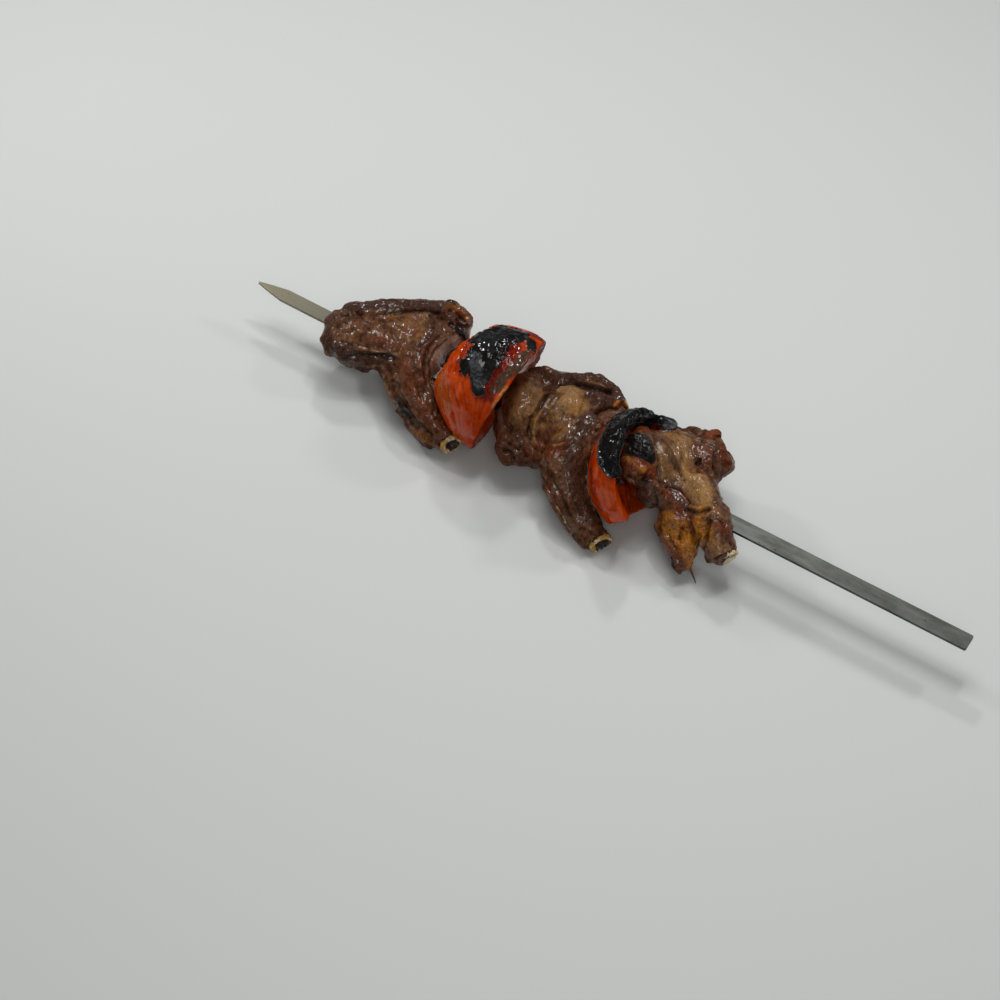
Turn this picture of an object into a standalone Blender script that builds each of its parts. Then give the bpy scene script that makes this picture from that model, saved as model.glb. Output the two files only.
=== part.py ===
"""Shashlik: three lamb rib chops and two grilled tomato halves on a flat steel skewer.

Millimetres are written as numbers and turned to metres by MM. While the pieces are made, X runs
along the skewer towards its bare end, Y runs away from the rib ends, and Z = 0 is the surface that
the shashlik lies on. At the end everything moves so that the origin is under the middle.
"""

import math

import bmesh
import bpy
from mathutils import Matrix, Vector, noise

MM = 0.001
GAP = 0.3
WELD_DISTANCE = 0.00001
SHARP_ANGLE = 50.0

# Skewer: a flat steel bar, ground to a point at one end.
SKEWER_LENGTH = 400.0
SKEWER_WIDTH = 10.0
SKEWER_THICKNESS = 1.8
SKEWER_LOW_X = -10.0
SKEWER_LOW_Z = 19.0
SKEWER_SAG = 0.00025
SKEWER_STATION = 12.5
SKEWER_EDGE = 0.25
POINT_NEAR_SIDE = 10.5
POINT_FAR_SIDE = 20.0
POINT_THICKNESS = 0.45
POINT_CURVE = 0.8
POINT_LEAST = 0.02
POINT_STATIONS = (0.1, 0.25, 0.4, 0.525, 0.8, 1.0)
END_CORNER = 1.2
END_STATIONS = (0.15, 0.45, 1.0)
ROLL_LEAST = 8.0
ROLL_MOST = 15.0
ROLL_LEAST_X = 80.0

# Meat: how finely a chop is blended from its lumps, and its uneven surface.
BLEND_VOXEL = 1.1
BLEND_PASSES = 9
BLEND_FACTOR = 0.6
RELIEF_DEPTH = 0.55
RELIEF_SIZE = 5.5
CRAG_DEPTH = 1.1
CRAG_SIZE = 13.0
CHOP_TRIANGLES = 2100

# Rib bone: wider than thick, with a marrow hollow in its cut end.
BONE_WIDTH = 10.5
BONE_THICKNESS = 8.0
MARROW_DEPTH = 3.0
MARROW_WALL = 1.9
MARROW_TAPER = 0.85
MARROW_SIDES = 12
BONE_CORNERS = 6
TUNNEL_PAST_END = 6.0

# Tomato halves: how finely their domes are turned.
TOMATO_RINGS = 10
TOMATO_SIDES = 36
TOMATO_FACE_RINGS = 4
RIM_INSET = 2.0
RIM_EASE = 0.8
DOME_FULLNESS = 0.92
FACE_CURVE = 2.4

# The block below the resting level, which leaves small flat spots on what touches it.
FLOOR_SIZE = (600.0, 200.0, 60.0)

# Each chop: lumps as (middle, half sizes, turn in degrees), and limbs as (x, y, z, radius).
TURN = 34.0
CHOPS = {
    "chop_1": {
        "lumps": {
            "eye": ((-127, 3, 24), (28, 18.5, 12.5), TURN),
            "outer_end": ((-140, -4, 22), (12, 12, 10.5), 0),
            "web": ((-110, -5, 20), (9, 9, 8), 0),
            "knob": ((-102, 31, 27), (9, 9, 12), 0),
            "upper_crag": ((-104, 35, 29), (4.5, 4.5, 5), 0),
            "right_crag": ((-95, 34, 27), (4.5, 6, 6), 0),
            "lower_crag": ((-95, 27, 24), (7, 7, 8), 0),
            "foot": ((-99, 24, 12.8), (10, 9, 14), 0),
        },
        "limbs": {
            "cap": [(-148, 2, 24, 8), (-139, 9, 26, 8.5), (-126, 18, 28, 8.5),
                    (-113, 25, 28, 8.5), (-104, 30, 28, 8.5)],
            "rib": [(-101, 21, 26, 10), (-100, 6, 28, 10.5), (-98, -7, 24, 10.5),
                    (-92, -14, 18, 10.5), (-82, -18, 13, 9.5), (-71, -21, 10.5, 7.8),
                    (-66, -23, 9.5, 6.8)],
            "strip": [(-105, -11, 21, 7.5), (-96, -17, 16, 7), (-86, -22, 11, 6.5),
                      (-74, -25, 8, 5.5)],
        },
        "bone": [(-100, 27, 25), (-99, 17, 27), (-98, 3, 28), (-94, -8, 25), (-88, -14, 20),
                 (-79, -17, 14), (-70, -21, 10.5), (-62, -24, 9)],
    },
    "chop_2": {
        "lumps": {
            "inner_lobe": ((-39, 5, 28), (12.5, 18, 11), TURN),
            "eye": ((-20, 12, 26), (16, 18, 13), TURN),
            "fold_bed": ((-24, 0, 22), (12, 10, 10), 0),
            "back": ((-10, 26, 27), (9.5, 11, 11), TURN),
            "chine": ((-1, 27, 29), (6, 6, 8.5), 0),
            "low_end": ((-32, -16, 19), (8, 8, 9.5), 0),
            "low_fold": ((-25, -13, 18), (9, 8, 9), 0),
        },
        "limbs": {
            "cap": [(-40, 23, 27, 7.5), (-24, 26, 29, 7.5), (-13, 31, 30, 7.5), (-5, 30, 29, 7.2)],
            "rib": [(-6, 13, 27, 10), (-6, -4, 26, 12), (-5, -16, 22, 12), (4, -24, 16, 9.6),
                    (15, -28, 9.5, 8.5), (23, -31, 7, 7.5), (28, -33, 6, 6.4)],
        },
        "bone": [(2, 27, 30), (-1, 18, 28), (-4, 8, 28), (-4, -5, 28), (0, -16, 24),
                 (7, -24, 16.5), (17, -27, 10.5), (25, -30, 7.5), (30, -33, 6)],
    },
    "chop_3": {
        "lumps": {
            "burnt_corner": ((25, 5, 37), (10.5, 13, 9), TURN),
            "crisp_edge": ((29, -7, 36), (9, 8, 7.5), 0),
            "shoulder": ((33, 7, 34), (10, 13, 9.5), TURN),
            "eye": ((36, 16, 29), (16, 17, 12.5), TURN),
            "outer_eye": ((50, 23, 26), (12.5, 14, 12), TURN),
            "bump": ((47, 36, 28), (4.5, 4.5, 6), 0),
            "outer_point": ((58, 28, 24), (6, 7, 7), 0),
            "back": ((39, 30, 27), (10, 8, 9), TURN),
            "low_end": ((38, -6, 28), (9, 9.5, 9), 0),
            "belly": ((49, 4, 24), (14, 12, 12), 0),
            "foot": ((47, 26, 12.8), (10, 9, 14), 0),
        },
        "limbs": {
            "fat_flap": [(50, 8, 24, 8), (54, -2, 22, 12), (58, -10, 16, 11), (64, -18, 11, 8.5),
                         (68, -25, 7, 4.5)],
            "rib": [(56, 9, 27, 9), (64, 0, 27, 9), (74, -7, 24, 9.2), (80, -13, 20, 8.6),
                    (85, -16, 18, 7.4)],
        },
        "bone": [(53, 13, 26), (63, 2, 28), (73, -7, 27), (80, -12, 22), (87, -16, 18)],
    },
}

# Each tomato half: middle of its rim, way its dome points, rim radius, height of the dome, depth
# of the shrunken cut face, and the plane (point, outward normal) of a trimmed end if it has one.
TOMATOES = {
    "tomato_1": {"middle": (-48.5, 3.9, 30.0), "way": (-0.95, -0.045, 0.31), "radius": 32.0,
                 "height": 37.0, "hollow": 3.5, "trim": None},
    "tomato_2": {"middle": (30.0, -1.0, 28.8), "way": (-0.92, -0.19, -0.34), "radius": 30.0,
                 "height": 23.0, "hollow": 8.0,
                 "trim": ((27.6, -13.0, 5.0), (0.735, -0.38, -0.567))},
}

STEEL = ("flat steel", (0.36, 0.36, 0.35), 0.42, 1.0)
MEAT = ("grilled lamb", (0.115, 0.052, 0.033), 0.45, 0.0)
BONE = ("rib bone", (0.62, 0.52, 0.36), 0.5, 0.0)
TOMATO = ("grilled tomato", (0.50, 0.075, 0.012), 0.3, 0.0)


def new_collection(name):
    """A collection linked to the scene."""
    collection = bpy.data.collections.new(name)
    bpy.context.scene.collection.children.link(collection)
    return collection


def new_material(name, colour, roughness, metallic):
    """A Principled material with one colour."""
    material = bpy.data.materials.new(name)
    material.use_nodes = True
    shader = material.node_tree.nodes["Principled BSDF"]
    shader.inputs["Base Color"].default_value = (*colour, 1.0)
    shader.inputs["Roughness"].default_value = roughness
    shader.inputs["Metallic"].default_value = metallic
    return material


def new_object(name, mesh, collection):
    """An object with this mesh in this collection."""
    thing = bpy.data.objects.new(name, mesh)
    collection.objects.link(thing)
    return thing


def object_from_bmesh(name, bm, collection):
    """An object whose mesh is this bmesh, which is then freed."""
    mesh = bpy.data.meshes.new(name)
    bm.to_mesh(mesh)
    bm.free()
    return new_object(name, mesh, collection)


def bake(thing):
    """Replace an object's mesh by the mesh that its modifiers make, and drop them."""
    graph = bpy.context.evaluated_depsgraph_get()
    mesh = bpy.data.meshes.new_from_object(thing.evaluated_get(graph))
    thing.modifiers.clear()
    thing.data = mesh
    return thing


def weld(thing):
    """Merge points that lie on each other."""
    bm = bmesh.new()
    bm.from_mesh(thing.data)
    bmesh.ops.remove_doubles(bm, verts=bm.verts, dist=WELD_DISTANCE)
    bm.to_mesh(thing.data)
    bm.free()


def cut(thing, cutter):
    """Take a cutter's shape out of a thing."""
    modifier = thing.modifiers.new("cut", "BOOLEAN")
    modifier.operation = "DIFFERENCE"
    modifier.solver = "EXACT"
    modifier.object = cutter
    bake(thing)


def drop_scraps(thing):
    """Keep only the largest body of a mesh that a cut has split."""
    bm = bmesh.new()
    bm.from_mesh(thing.data)
    left = set(bm.verts)
    bodies = []
    while left:
        body = set()
        edge_of_body = [left.pop()]
        while edge_of_body:
            vert = edge_of_body.pop()
            body.add(vert)
            near = [edge.other_vert(vert) for edge in vert.link_edges]
            fresh = [other for other in near if other in left]
            left.difference_update(fresh)
            edge_of_body.extend(fresh)
        bodies.append(body)
    largest = max(bodies, key=len)
    scraps = [vert for vert in bm.verts if vert not in largest]
    bmesh.ops.delete(bm, geom=scraps, context="VERTS")
    bm.to_mesh(thing.data)
    bm.free()


def mark_as_cutter(thing):
    """Hide a cutter from the render and draw it as wires."""
    thing.hide_render = True
    thing.display_type = "WIRE"
    return thing


def remove(things):
    """Delete objects."""
    for thing in list(things):
        bpy.data.objects.remove(thing, do_unlink=True)


# Skewer


def skewer_height(x):
    """Height of the skewer's middle line, which sags a little between its ends."""
    return SKEWER_LOW_Z + SKEWER_SAG * (x - SKEWER_LOW_X) ** 2


def skewer_roll(x):
    """Roll of the bar about its length, in radians, least on the handle."""
    reach = SKEWER_LENGTH / 2 + (ROLL_LEAST_X if x < ROLL_LEAST_X else -ROLL_LEAST_X)
    away = (x - ROLL_LEAST_X) / reach
    return math.radians(ROLL_LEAST + (ROLL_MOST - ROLL_LEAST) * away ** 2)


def point_share(x, side):
    """Share of the half width left near the point, on the near (-1) or far (+1) side."""
    from_tip = x + SKEWER_LENGTH / 2
    if side < 0:
        return min(1.0, from_tip / POINT_NEAR_SIDE)
    return math.sin(min(1.0, from_tip / POINT_FAR_SIDE) * math.pi / 2) ** POINT_CURVE


def end_share(x):
    """Share of the half width left at the rounded corners of the bare end."""
    from_end = max(0.0, SKEWER_LENGTH / 2 - x)
    if from_end >= END_CORNER:
        return 1.0
    inset = END_CORNER - math.sqrt(END_CORNER ** 2 - (END_CORNER - from_end) ** 2)
    return 1.0 - inset / (SKEWER_WIDTH / 2)


def skewer_stations():
    """Places along the bar where it is split so that it can bend and taper."""
    half = SKEWER_LENGTH / 2
    count = int(SKEWER_LENGTH / SKEWER_STATION)
    stations = [-half + SKEWER_STATION * step for step in range(1, count)]
    stations += [-half + POINT_FAR_SIDE * share for share in POINT_STATIONS]
    stations += [half - END_CORNER * share for share in END_STATIONS]
    return sorted(stations)


def make_bar(name, collection, grow=0.0):
    """The flat bar; grow makes it larger all round, as a cutter for its slot."""
    bm = bmesh.new()
    bmesh.ops.create_cube(bm, size=1.0)
    bmesh.ops.scale(bm, vec=(SKEWER_LENGTH, 2.0, 2.0), verts=bm.verts)
    for x in skewer_stations():
        every = bm.verts[:] + bm.edges[:] + bm.faces[:]
        bmesh.ops.bisect_plane(bm, geom=every, plane_co=(x, 0, 0), plane_no=(1, 0, 0))
    tip_x = -SKEWER_LENGTH / 2
    for vert in bm.verts:
        x = vert.co.x
        side = 1 if vert.co.y > 0 else -1
        level = 1 if vert.co.z > 0 else -1
        share = max(POINT_LEAST, point_share(x, side) * end_share(x))
        thin = min(1.0, POINT_THICKNESS + (x - tip_x) / POINT_FAR_SIDE)
        across = side * (SKEWER_WIDTH / 2 * share + grow)
        upward = level * (SKEWER_THICKNESS / 2 * thin + grow)
        roll = skewer_roll(x)
        vert.co.y = across * math.cos(roll) - upward * math.sin(roll)
        vert.co.z = across * math.sin(roll) + upward * math.cos(roll) + skewer_height(x)
    bmesh.ops.scale(bm, vec=(MM, MM, MM), verts=bm.verts)
    return object_from_bmesh(name, bm, collection)


def make_skewer(collection):
    """The steel bar with its long edges eased."""
    skewer = make_bar("skewer", collection)
    bevel = skewer.modifiers.new("eased edges", "BEVEL")
    bevel.width = SKEWER_EDGE * MM
    bevel.segments = 1
    bevel.limit_method = "ANGLE"
    bevel.angle_limit = math.radians(SHARP_ANGLE)
    bake(skewer)
    return skewer


# Tubes for limbs and bones


def make_limb(name, points, collection):
    """A fat tube through points with their own radii, as a mesh."""
    curve = bpy.data.curves.new(name, "CURVE")
    curve.dimensions = "3D"
    curve.bevel_depth = MM
    curve.bevel_resolution = 3
    curve.resolution_u = 3
    curve.use_fill_caps = True
    spline = curve.splines.new("NURBS")
    spline.points.add(len(points) - 1)
    for target, (x, y, z, radius) in zip(spline.points, points):
        target.co = (x * MM, y * MM, z * MM, 1.0)
        target.radius = radius
    spline.use_endpoint_u = True
    spline.order_u = 3
    tube = new_object(name, curve, collection)
    return mesh_in_place(tube, name, collection)


def mesh_in_place(tube, name, collection):
    """Turn a curve object into a mesh object with welded caps."""
    graph = bpy.context.evaluated_depsgraph_get()
    mesh = bpy.data.meshes.new_from_object(tube.evaluated_get(graph))
    matrix = tube.matrix_world.copy()
    bpy.data.objects.remove(tube, do_unlink=True)
    solid = new_object(name, mesh, collection)
    solid.matrix_world = matrix
    weld(solid)
    return solid


def make_bone_tube(name, path, collection, grow=0.0, past_end=0.0):
    """A tube of the rib's oval section along a smooth path; past_end makes it run on straight."""
    section = bpy.data.curves.new(name + "_section", "CURVE")
    section.dimensions = "2D"
    ring = section.splines.new("NURBS")
    ring.points.add(BONE_CORNERS - 1)
    for step, target in enumerate(ring.points):
        angle = 2 * math.pi * step / BONE_CORNERS
        corner = 1.0 / math.cos(math.pi / BONE_CORNERS)
        wide = (BONE_WIDTH / 2 + grow) * corner * math.cos(angle)
        high = (BONE_THICKNESS / 2 + grow) * corner * math.sin(angle)
        target.co = (wide * MM, high * MM, 0.0, 1.0)
    ring.use_cyclic_u = True
    ring.order_u = 3
    section.resolution_u = 2
    guide = new_object(name + "_section", section, collection)
    points = [Vector(point) for point in path]
    if past_end > 0:
        points.append(points[-1] + (points[-1] - points[-2]).normalized() * past_end)
    curve = bpy.data.curves.new(name, "CURVE")
    curve.dimensions = "3D"
    curve.twist_mode = "Z_UP"
    curve.bevel_mode = "OBJECT"
    curve.bevel_object = guide
    curve.resolution_u = 2
    curve.use_fill_caps = True
    spline = curve.splines.new("NURBS")
    spline.points.add(len(points) - 1)
    for target, point in zip(spline.points, points):
        target.co = (*(point * MM), 1.0)
    spline.use_endpoint_u = True
    spline.order_u = 3
    tube = mesh_in_place(new_object(name, curve, collection), name, collection)
    bpy.data.objects.remove(guide, do_unlink=True)
    face_outwards(tube)
    return tube


def face_outwards(thing):
    """Turn every face of a closed mesh to the outside."""
    bm = bmesh.new()
    bm.from_mesh(thing.data)
    bmesh.ops.recalc_face_normals(bm, faces=bm.faces)
    bm.to_mesh(thing.data)
    bm.free()


def make_bone(name, path, parts, cutters):
    """A rib bone whose cut end has a hollow where the marrow was."""
    bone = make_bone_tube(name, path, parts)
    end = Vector(path[-1])
    way = (end - Vector(path[-2])).normalized()
    bm = bmesh.new()
    bmesh.ops.create_cone(bm, cap_ends=True, segments=MARROW_SIDES, radius1=MARROW_TAPER,
                          radius2=1.0, depth=2 * MARROW_DEPTH)
    size = Matrix.Diagonal((BONE_WIDTH / 2 - MARROW_WALL, BONE_THICKNESS / 2 - MARROW_WALL, 1, 1))
    aim = way.to_track_quat("Z", "Y").to_matrix().to_4x4()
    place = Matrix.Scale(MM, 4) @ Matrix.Translation(end) @ aim @ size
    bmesh.ops.transform(bm, matrix=place, verts=bm.verts)
    hollow = mark_as_cutter(object_from_bmesh(name + "_marrow", bm, cutters))
    cut(bone, hollow)
    remove([hollow])
    return bone


# Meat


def make_lump(name, middle, half_sizes, turn, collection):
    """An egg-shaped lump of meat."""
    bm = bmesh.new()
    bmesh.ops.create_icosphere(bm, subdivisions=3, radius=1.0)
    place = (Matrix.Scale(MM, 4) @ Matrix.Translation(middle)
             @ Matrix.Rotation(math.radians(turn), 4, "Z") @ Matrix.Diagonal((*half_sizes, 1)))
    bmesh.ops.transform(bm, matrix=place, verts=bm.verts)
    return object_from_bmesh(name, bm, collection)


def join_lumps(name, chop, parts):
    """One closed body from a chop's lumps and limbs, by one Boolean union."""
    lumps = new_collection(name + "_lumps")
    for lump, (middle, half_sizes, turn) in chop["lumps"].items():
        make_lump(f"{name}_{lump}", middle, half_sizes, turn, lumps)
    for limb, points in chop["limbs"].items():
        make_limb(f"{name}_{limb}", points, lumps)
    first = lumps.objects[0]
    meat = new_object(name + "_meat", first.data.copy(), parts)
    remove([first])
    union = meat.modifiers.new("union", "BOOLEAN")
    union.operation = "UNION"
    union.solver = "EXACT"
    union.operand_type = "COLLECTION"
    union.collection = lumps
    bake(meat)
    remove(lumps.objects)
    bpy.data.collections.remove(lumps)
    return meat


def blend_lumps(meat):
    """Melt the lumps into each other."""
    remesh = meat.modifiers.new("skin", "REMESH")
    remesh.mode = "VOXEL"
    remesh.voxel_size = BLEND_VOXEL * MM
    smooth = meat.modifiers.new("melt", "SMOOTH")
    smooth.factor = BLEND_FACTOR
    smooth.iterations = BLEND_PASSES
    bake(meat)


def roughen(meat):
    """Push the skin in and out as uneven grilled meat is."""
    mesh = meat.data
    normals = [Vector(vertex.normal) for vertex in mesh.vertices]
    for vertex, normal in zip(mesh.vertices, normals):
        place = vertex.co / MM
        fine = noise.fractal(place / RELIEF_SIZE, 1.0, 2.0, 2)
        coarse = noise.noise(place / CRAG_SIZE)
        vertex.co += normal * (RELIEF_DEPTH * fine + CRAG_DEPTH * coarse) * MM


def thin_out(thing, triangles):
    """Bring a mesh down to about this many triangles."""
    bm = bmesh.new()
    bm.from_mesh(thing.data)
    bmesh.ops.triangulate(bm, faces=bm.faces)
    count = len(bm.faces)
    bm.to_mesh(thing.data)
    bm.free()
    if count > triangles:
        decimate = thing.modifiers.new("thin", "DECIMATE")
        decimate.ratio = triangles / count
        bake(thing)


def make_meat(name, chop, parts):
    """A chop's meat before it is cut round its neighbours."""
    meat = join_lumps(name, chop, parts)
    blend_lumps(meat)
    roughen(meat)
    thin_out(meat, CHOP_TRIANGLES)
    return meat


# Tomatoes


def tomato_profile(radius, height, hollow, grow):
    """Points (distance from axis, height) from the dome's top round the rim to the cut's middle."""
    points = []
    for step in range(TOMATO_RINGS + 1):
        angle = math.pi / 2 * (1 - step / TOMATO_RINGS)
        fullness = math.cos(angle) ** DOME_FULLNESS
        points.append(((radius + grow) * fullness, (height + grow) * math.sin(angle)))
    points.append((radius + grow - RIM_EASE / 2, -RIM_EASE - grow))
    for step in range(1, TOMATO_FACE_RINGS + 1):
        share = 1 - step / TOMATO_FACE_RINGS
        depth = hollow * (1 - share ** FACE_CURVE) - RIM_EASE - grow
        points.append(((radius - RIM_INSET) * share, depth))
    return points


def make_tomato(name, sizes, collection, grow=0.0):
    """A tomato half: a turned dome with a sunken cut face, aimed along its way."""
    profile = tomato_profile(sizes["radius"], sizes["height"], sizes["hollow"], grow)
    bm = bmesh.new()
    line = [bm.verts.new((0.0 if step in (0, len(profile) - 1) else x, 0.0, z))
            for step, (x, z) in enumerate(profile)]
    edges = [bm.edges.new(pair) for pair in zip(line, line[1:])]
    bmesh.ops.spin(bm, geom=line + edges, cent=(0, 0, 0), axis=(0, 0, 1),
                   angle=2 * math.pi, steps=TOMATO_SIDES, use_merge=True)
    bmesh.ops.remove_doubles(bm, verts=bm.verts, dist=0.001)
    bmesh.ops.recalc_face_normals(bm, faces=bm.faces)
    aim = Vector(sizes["way"]).to_track_quat("Z", "Y").to_matrix().to_4x4()
    place = Matrix.Scale(MM, 4) @ Matrix.Translation(sizes["middle"]) @ aim
    bmesh.ops.transform(bm, matrix=place, verts=bm.verts)
    if sizes["trim"]:
        trim_end(bm, *sizes["trim"], grow)
    return object_from_bmesh(name, bm, collection)


def trim_end(bm, point, normal, grow):
    """Slice off what lies past a plane and close the slice with a flat face."""
    outward = Vector(normal).normalized()
    place = (Vector(point) + outward * grow) * MM
    every = bm.verts[:] + bm.edges[:] + bm.faces[:]
    done = bmesh.ops.bisect_plane(bm, geom=every, plane_co=place, plane_no=outward,
                                  clear_outer=True)
    rim = [item for item in done["geom_cut"] if isinstance(item, bmesh.types.BMEdge)]
    bmesh.ops.contextual_create(bm, geom=rim)
    bmesh.ops.recalc_face_normals(bm, faces=bm.faces)


# Assembly


def make_floor_cutter(collection):
    """A block below the resting level, which leaves small flat spots."""
    bm = bmesh.new()
    bmesh.ops.create_cube(bm, size=1.0)
    bmesh.ops.scale(bm, vec=Vector(FLOOR_SIZE) * MM, verts=bm.verts)
    bmesh.ops.translate(bm, vec=(0, 0, -FLOOR_SIZE[2] / 2 * MM), verts=bm.verts)
    return mark_as_cutter(object_from_bmesh("floor_cutter", bm, collection))


def finish(thing, material):
    """Give a piece its material and smooth shading with sharp cut edges."""
    thing.data.materials.clear()
    thing.data.materials.append(material)
    thing.data.shade_smooth()
    thing.data.set_sharp_from_angle(angle=math.radians(SHARP_ANGLE))


def centre_on_origin(things):
    """Move every mesh so that the origin is under the middle of the whole."""
    corners = [vertex.co for thing in things for vertex in thing.data.vertices]
    low = Vector([min(corner[axis] for corner in corners) for axis in range(3)])
    high = Vector([max(corner[axis] for corner in corners) for axis in range(3)])
    shift = Vector((-(low.x + high.x) / 2, -(low.y + high.y) / 2, -low.z))
    for thing in things:
        thing.data.transform(Matrix.Translation(shift))


def main():
    """Build the shashlik."""
    remove(bpy.data.objects)
    parts = new_collection("shashlik")
    cutters = new_collection("cutters")
    steel = new_material(*STEEL)
    meat_skin = new_material(*MEAT)
    bone_skin = new_material(*BONE)
    tomato_skin = new_material(*TOMATO)
    slot = mark_as_cutter(make_bar("slot", cutters, grow=GAP))
    floor = make_floor_cutter(cutters)
    skewer = make_skewer(parts)
    finish(skewer, steel)
    made = [skewer]
    room_for = []
    for name, sizes in TOMATOES.items():
        tomato = make_tomato(name, sizes, parts)
        cut(tomato, slot)
        cut(tomato, floor)
        finish(tomato, tomato_skin)
        made.append(tomato)
        room_for.append(mark_as_cutter(make_tomato(name + "_room", sizes, cutters, grow=GAP)))
    for name, chop in CHOPS.items():
        bone = make_bone(name + "_bone", chop["bone"], parts, cutters)
        tunnel = mark_as_cutter(make_bone_tube(name + "_tunnel", chop["bone"], cutters,
                                               grow=GAP, past_end=TUNNEL_PAST_END))
        meat = make_meat(name, chop, parts)
        for cutter in [slot, floor, tunnel] + room_for:
            cut(meat, cutter)
        drop_scraps(meat)
        cut(bone, floor)
        finish(meat, meat_skin)
        finish(bone, bone_skin)
        made += [meat, bone]
    centre_on_origin(made)
    remove(cutters.objects)


main()
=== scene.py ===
"""Looks of a shashlik: grilled lamb rib chops and tomato halves on a flat steel skewer.

Sizes and places are in millimetres in the part's own frame: X runs along the skewer towards its
bare end, Y runs from the rib ends to the backs of the chops, and Z is up from the surface below.
"""

from __future__ import annotations

import logging
import math
from dataclasses import dataclass
from enum import Enum

import bmesh
import bpy
import numpy as np
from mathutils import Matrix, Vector, noise

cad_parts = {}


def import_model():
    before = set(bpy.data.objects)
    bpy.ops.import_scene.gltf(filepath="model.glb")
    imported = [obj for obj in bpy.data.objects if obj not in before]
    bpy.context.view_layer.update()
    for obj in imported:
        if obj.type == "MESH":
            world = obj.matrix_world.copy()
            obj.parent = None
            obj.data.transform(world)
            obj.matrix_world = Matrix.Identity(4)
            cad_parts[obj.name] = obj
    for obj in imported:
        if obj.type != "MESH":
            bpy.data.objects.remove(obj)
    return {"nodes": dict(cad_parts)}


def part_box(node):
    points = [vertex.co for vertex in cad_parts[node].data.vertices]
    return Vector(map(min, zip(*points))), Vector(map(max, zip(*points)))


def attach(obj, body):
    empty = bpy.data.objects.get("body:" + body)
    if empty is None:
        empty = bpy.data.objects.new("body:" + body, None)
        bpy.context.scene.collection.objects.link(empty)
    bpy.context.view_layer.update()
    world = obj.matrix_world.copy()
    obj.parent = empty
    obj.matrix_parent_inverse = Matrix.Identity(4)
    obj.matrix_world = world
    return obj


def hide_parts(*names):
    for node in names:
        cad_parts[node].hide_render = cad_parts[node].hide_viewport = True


MM = 0.001
BODY = "root"

SEED_STEP = 17.3  # how far apart the noise patterns of two seeds lie, in their own widths
FRACTAL_FALL = 1.0  # how fast finer layers of noise fade
FRACTAL_STEP = 2.1  # how much finer each layer is
EVEN_FIBRE = 0.5  # the fibre tone that changes no brightness
BROAD_MOTTLE = 3.2  # width of the broad colour patches, in widths of the mottle
FOOD_IOR = 1.46  # fat and juice
FILM_IOR = 1.5  # oil and roast juices

log = logging.getLogger("shashlik")

Point = tuple[float, float, float]
Path = tuple[Point, ...]


class Form(Enum):
    """How a stroke's push falls off from its middle line to its edge."""

    BULGE = "rounded swelling"
    RIDGE = "narrow crest"
    CREASE = "sharp fold"
    PIT = "round-bottomed hole"


class Tone(Enum):
    """What lies on the surface."""

    CHAR = "char"
    PEBBLE = "pebble"
    SEAR = "sear"
    PALE = "pale"
    FAT = "fat"
    GLAZE = "glaze"
    SMOOTH = "smooth"
    BONE = "bone"
    # Painted grey sheen on burnt skin.
    PAINTED_SHEEN = "painted_sheen"
    DEEP = "deep"
    OLIVE = "olive"
    ORANGE = "orange"
    FLESH = "flesh"
    # Painted shade in hollows and pressed folds, not a colour of the food.
    CREASE_SHADE = "crease_shade"
    # Painted light on the crowns of the relief.
    CREST_LIGHT = "crest_light"
    MARROW = "marrow"
    FIBRE = "fibre"


@dataclass(frozen=True)
class Stroke:
    """A fold, a swelling or a patch of tone that follows a path on the surface.

    Attributes:
        kind: the Form that it pushes or the Tone that it lays.
        path: points that it runs through.
        width: reach to each side.
        amount: push outwards, or strength of the tone.
    """

    kind: Form | Tone
    path: Path
    width: float
    amount: float


@dataclass(frozen=True)
class Blob:
    """A chain of overlapping balls that is melted into a piece before it is modelled.

    Attributes:
        path: middles of the chain.
        radii: a radius for each.
    """

    path: Path
    radii: tuple[float, ...]


@dataclass(frozen=True)
class Ripple:
    """Uneven relief all over a piece.

    Attributes:
        size: width of its lumps.
        depth: height of its lumps.
        seed: offset that tells it from others of its size.
        stretch: how many times longer the lumps are along the grain.
        sharp: True for creases between rounded lumps instead of soft waves.
    """

    size: float
    depth: float
    seed: float = 0.0
    stretch: float = 1.0
    sharp: bool = False


def strokes(*rows: tuple) -> tuple[Stroke, ...]:
    """Strokes from rows that hold kind, width, amount and then the points of the path."""
    return tuple(Stroke(kind, tuple(path), width, amount) for kind, width, amount, *path in rows)


def linear(shade: str) -> tuple[float, float, float, float]:
    """Turn an sRGB hex value to a linear colour.

    Args:
        shade: six hex digits after a hash.

    Returns:
        Red, green, blue and alpha.
    """
    parts = [int(shade[place:place + 2], 16) / 255 for place in (1, 3, 5)]
    red, green, blue = (part / 12.92 if part <= 0.04045 else ((part + 0.055) / 1.055) ** 2.4
                        for part in parts)
    return (red, green, blue, 1.0)


def plug(tree: bpy.types.NodeTree, node: bpy.types.Node, settings: dict | None = None,
         links: dict | None = None) -> None:
    """Give a node's input sockets their values and links.

    Args:
        tree: the node tree.
        node: the node.
        settings: values for its input sockets.
        links: output sockets to link to its input sockets.
    """
    for socket, value in (settings or {}).items():
        node.inputs[socket].default_value = value
    for socket, source in (links or {}).items():
        tree.links.new(source, node.inputs[socket])


def add_node(tree: bpy.types.NodeTree, kind: str, settings: dict | None = None,
             links: dict | None = None, **properties: object) -> bpy.types.Node:
    """Add a node with its settings and links.

    Args:
        tree: the node tree.
        kind: the node's type.
        settings: values for its input sockets.
        links: output sockets to link to its input sockets.
        **properties: values for the node's own properties.

    Returns:
        The new node.
    """
    node = tree.nodes.new(kind)
    for name, value in properties.items():
        setattr(node, name, value)
    plug(tree, node, settings, links)
    return node


def new_material(name: str) -> tuple[bpy.types.Material, bpy.types.Node]:
    """Start a material.

    Args:
        name: what it really is.

    Returns:
        The material and its shader.
    """
    material = bpy.data.materials.new(name)
    material.use_nodes = True
    return material, material.node_tree.nodes["Principled BSDF"]


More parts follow.
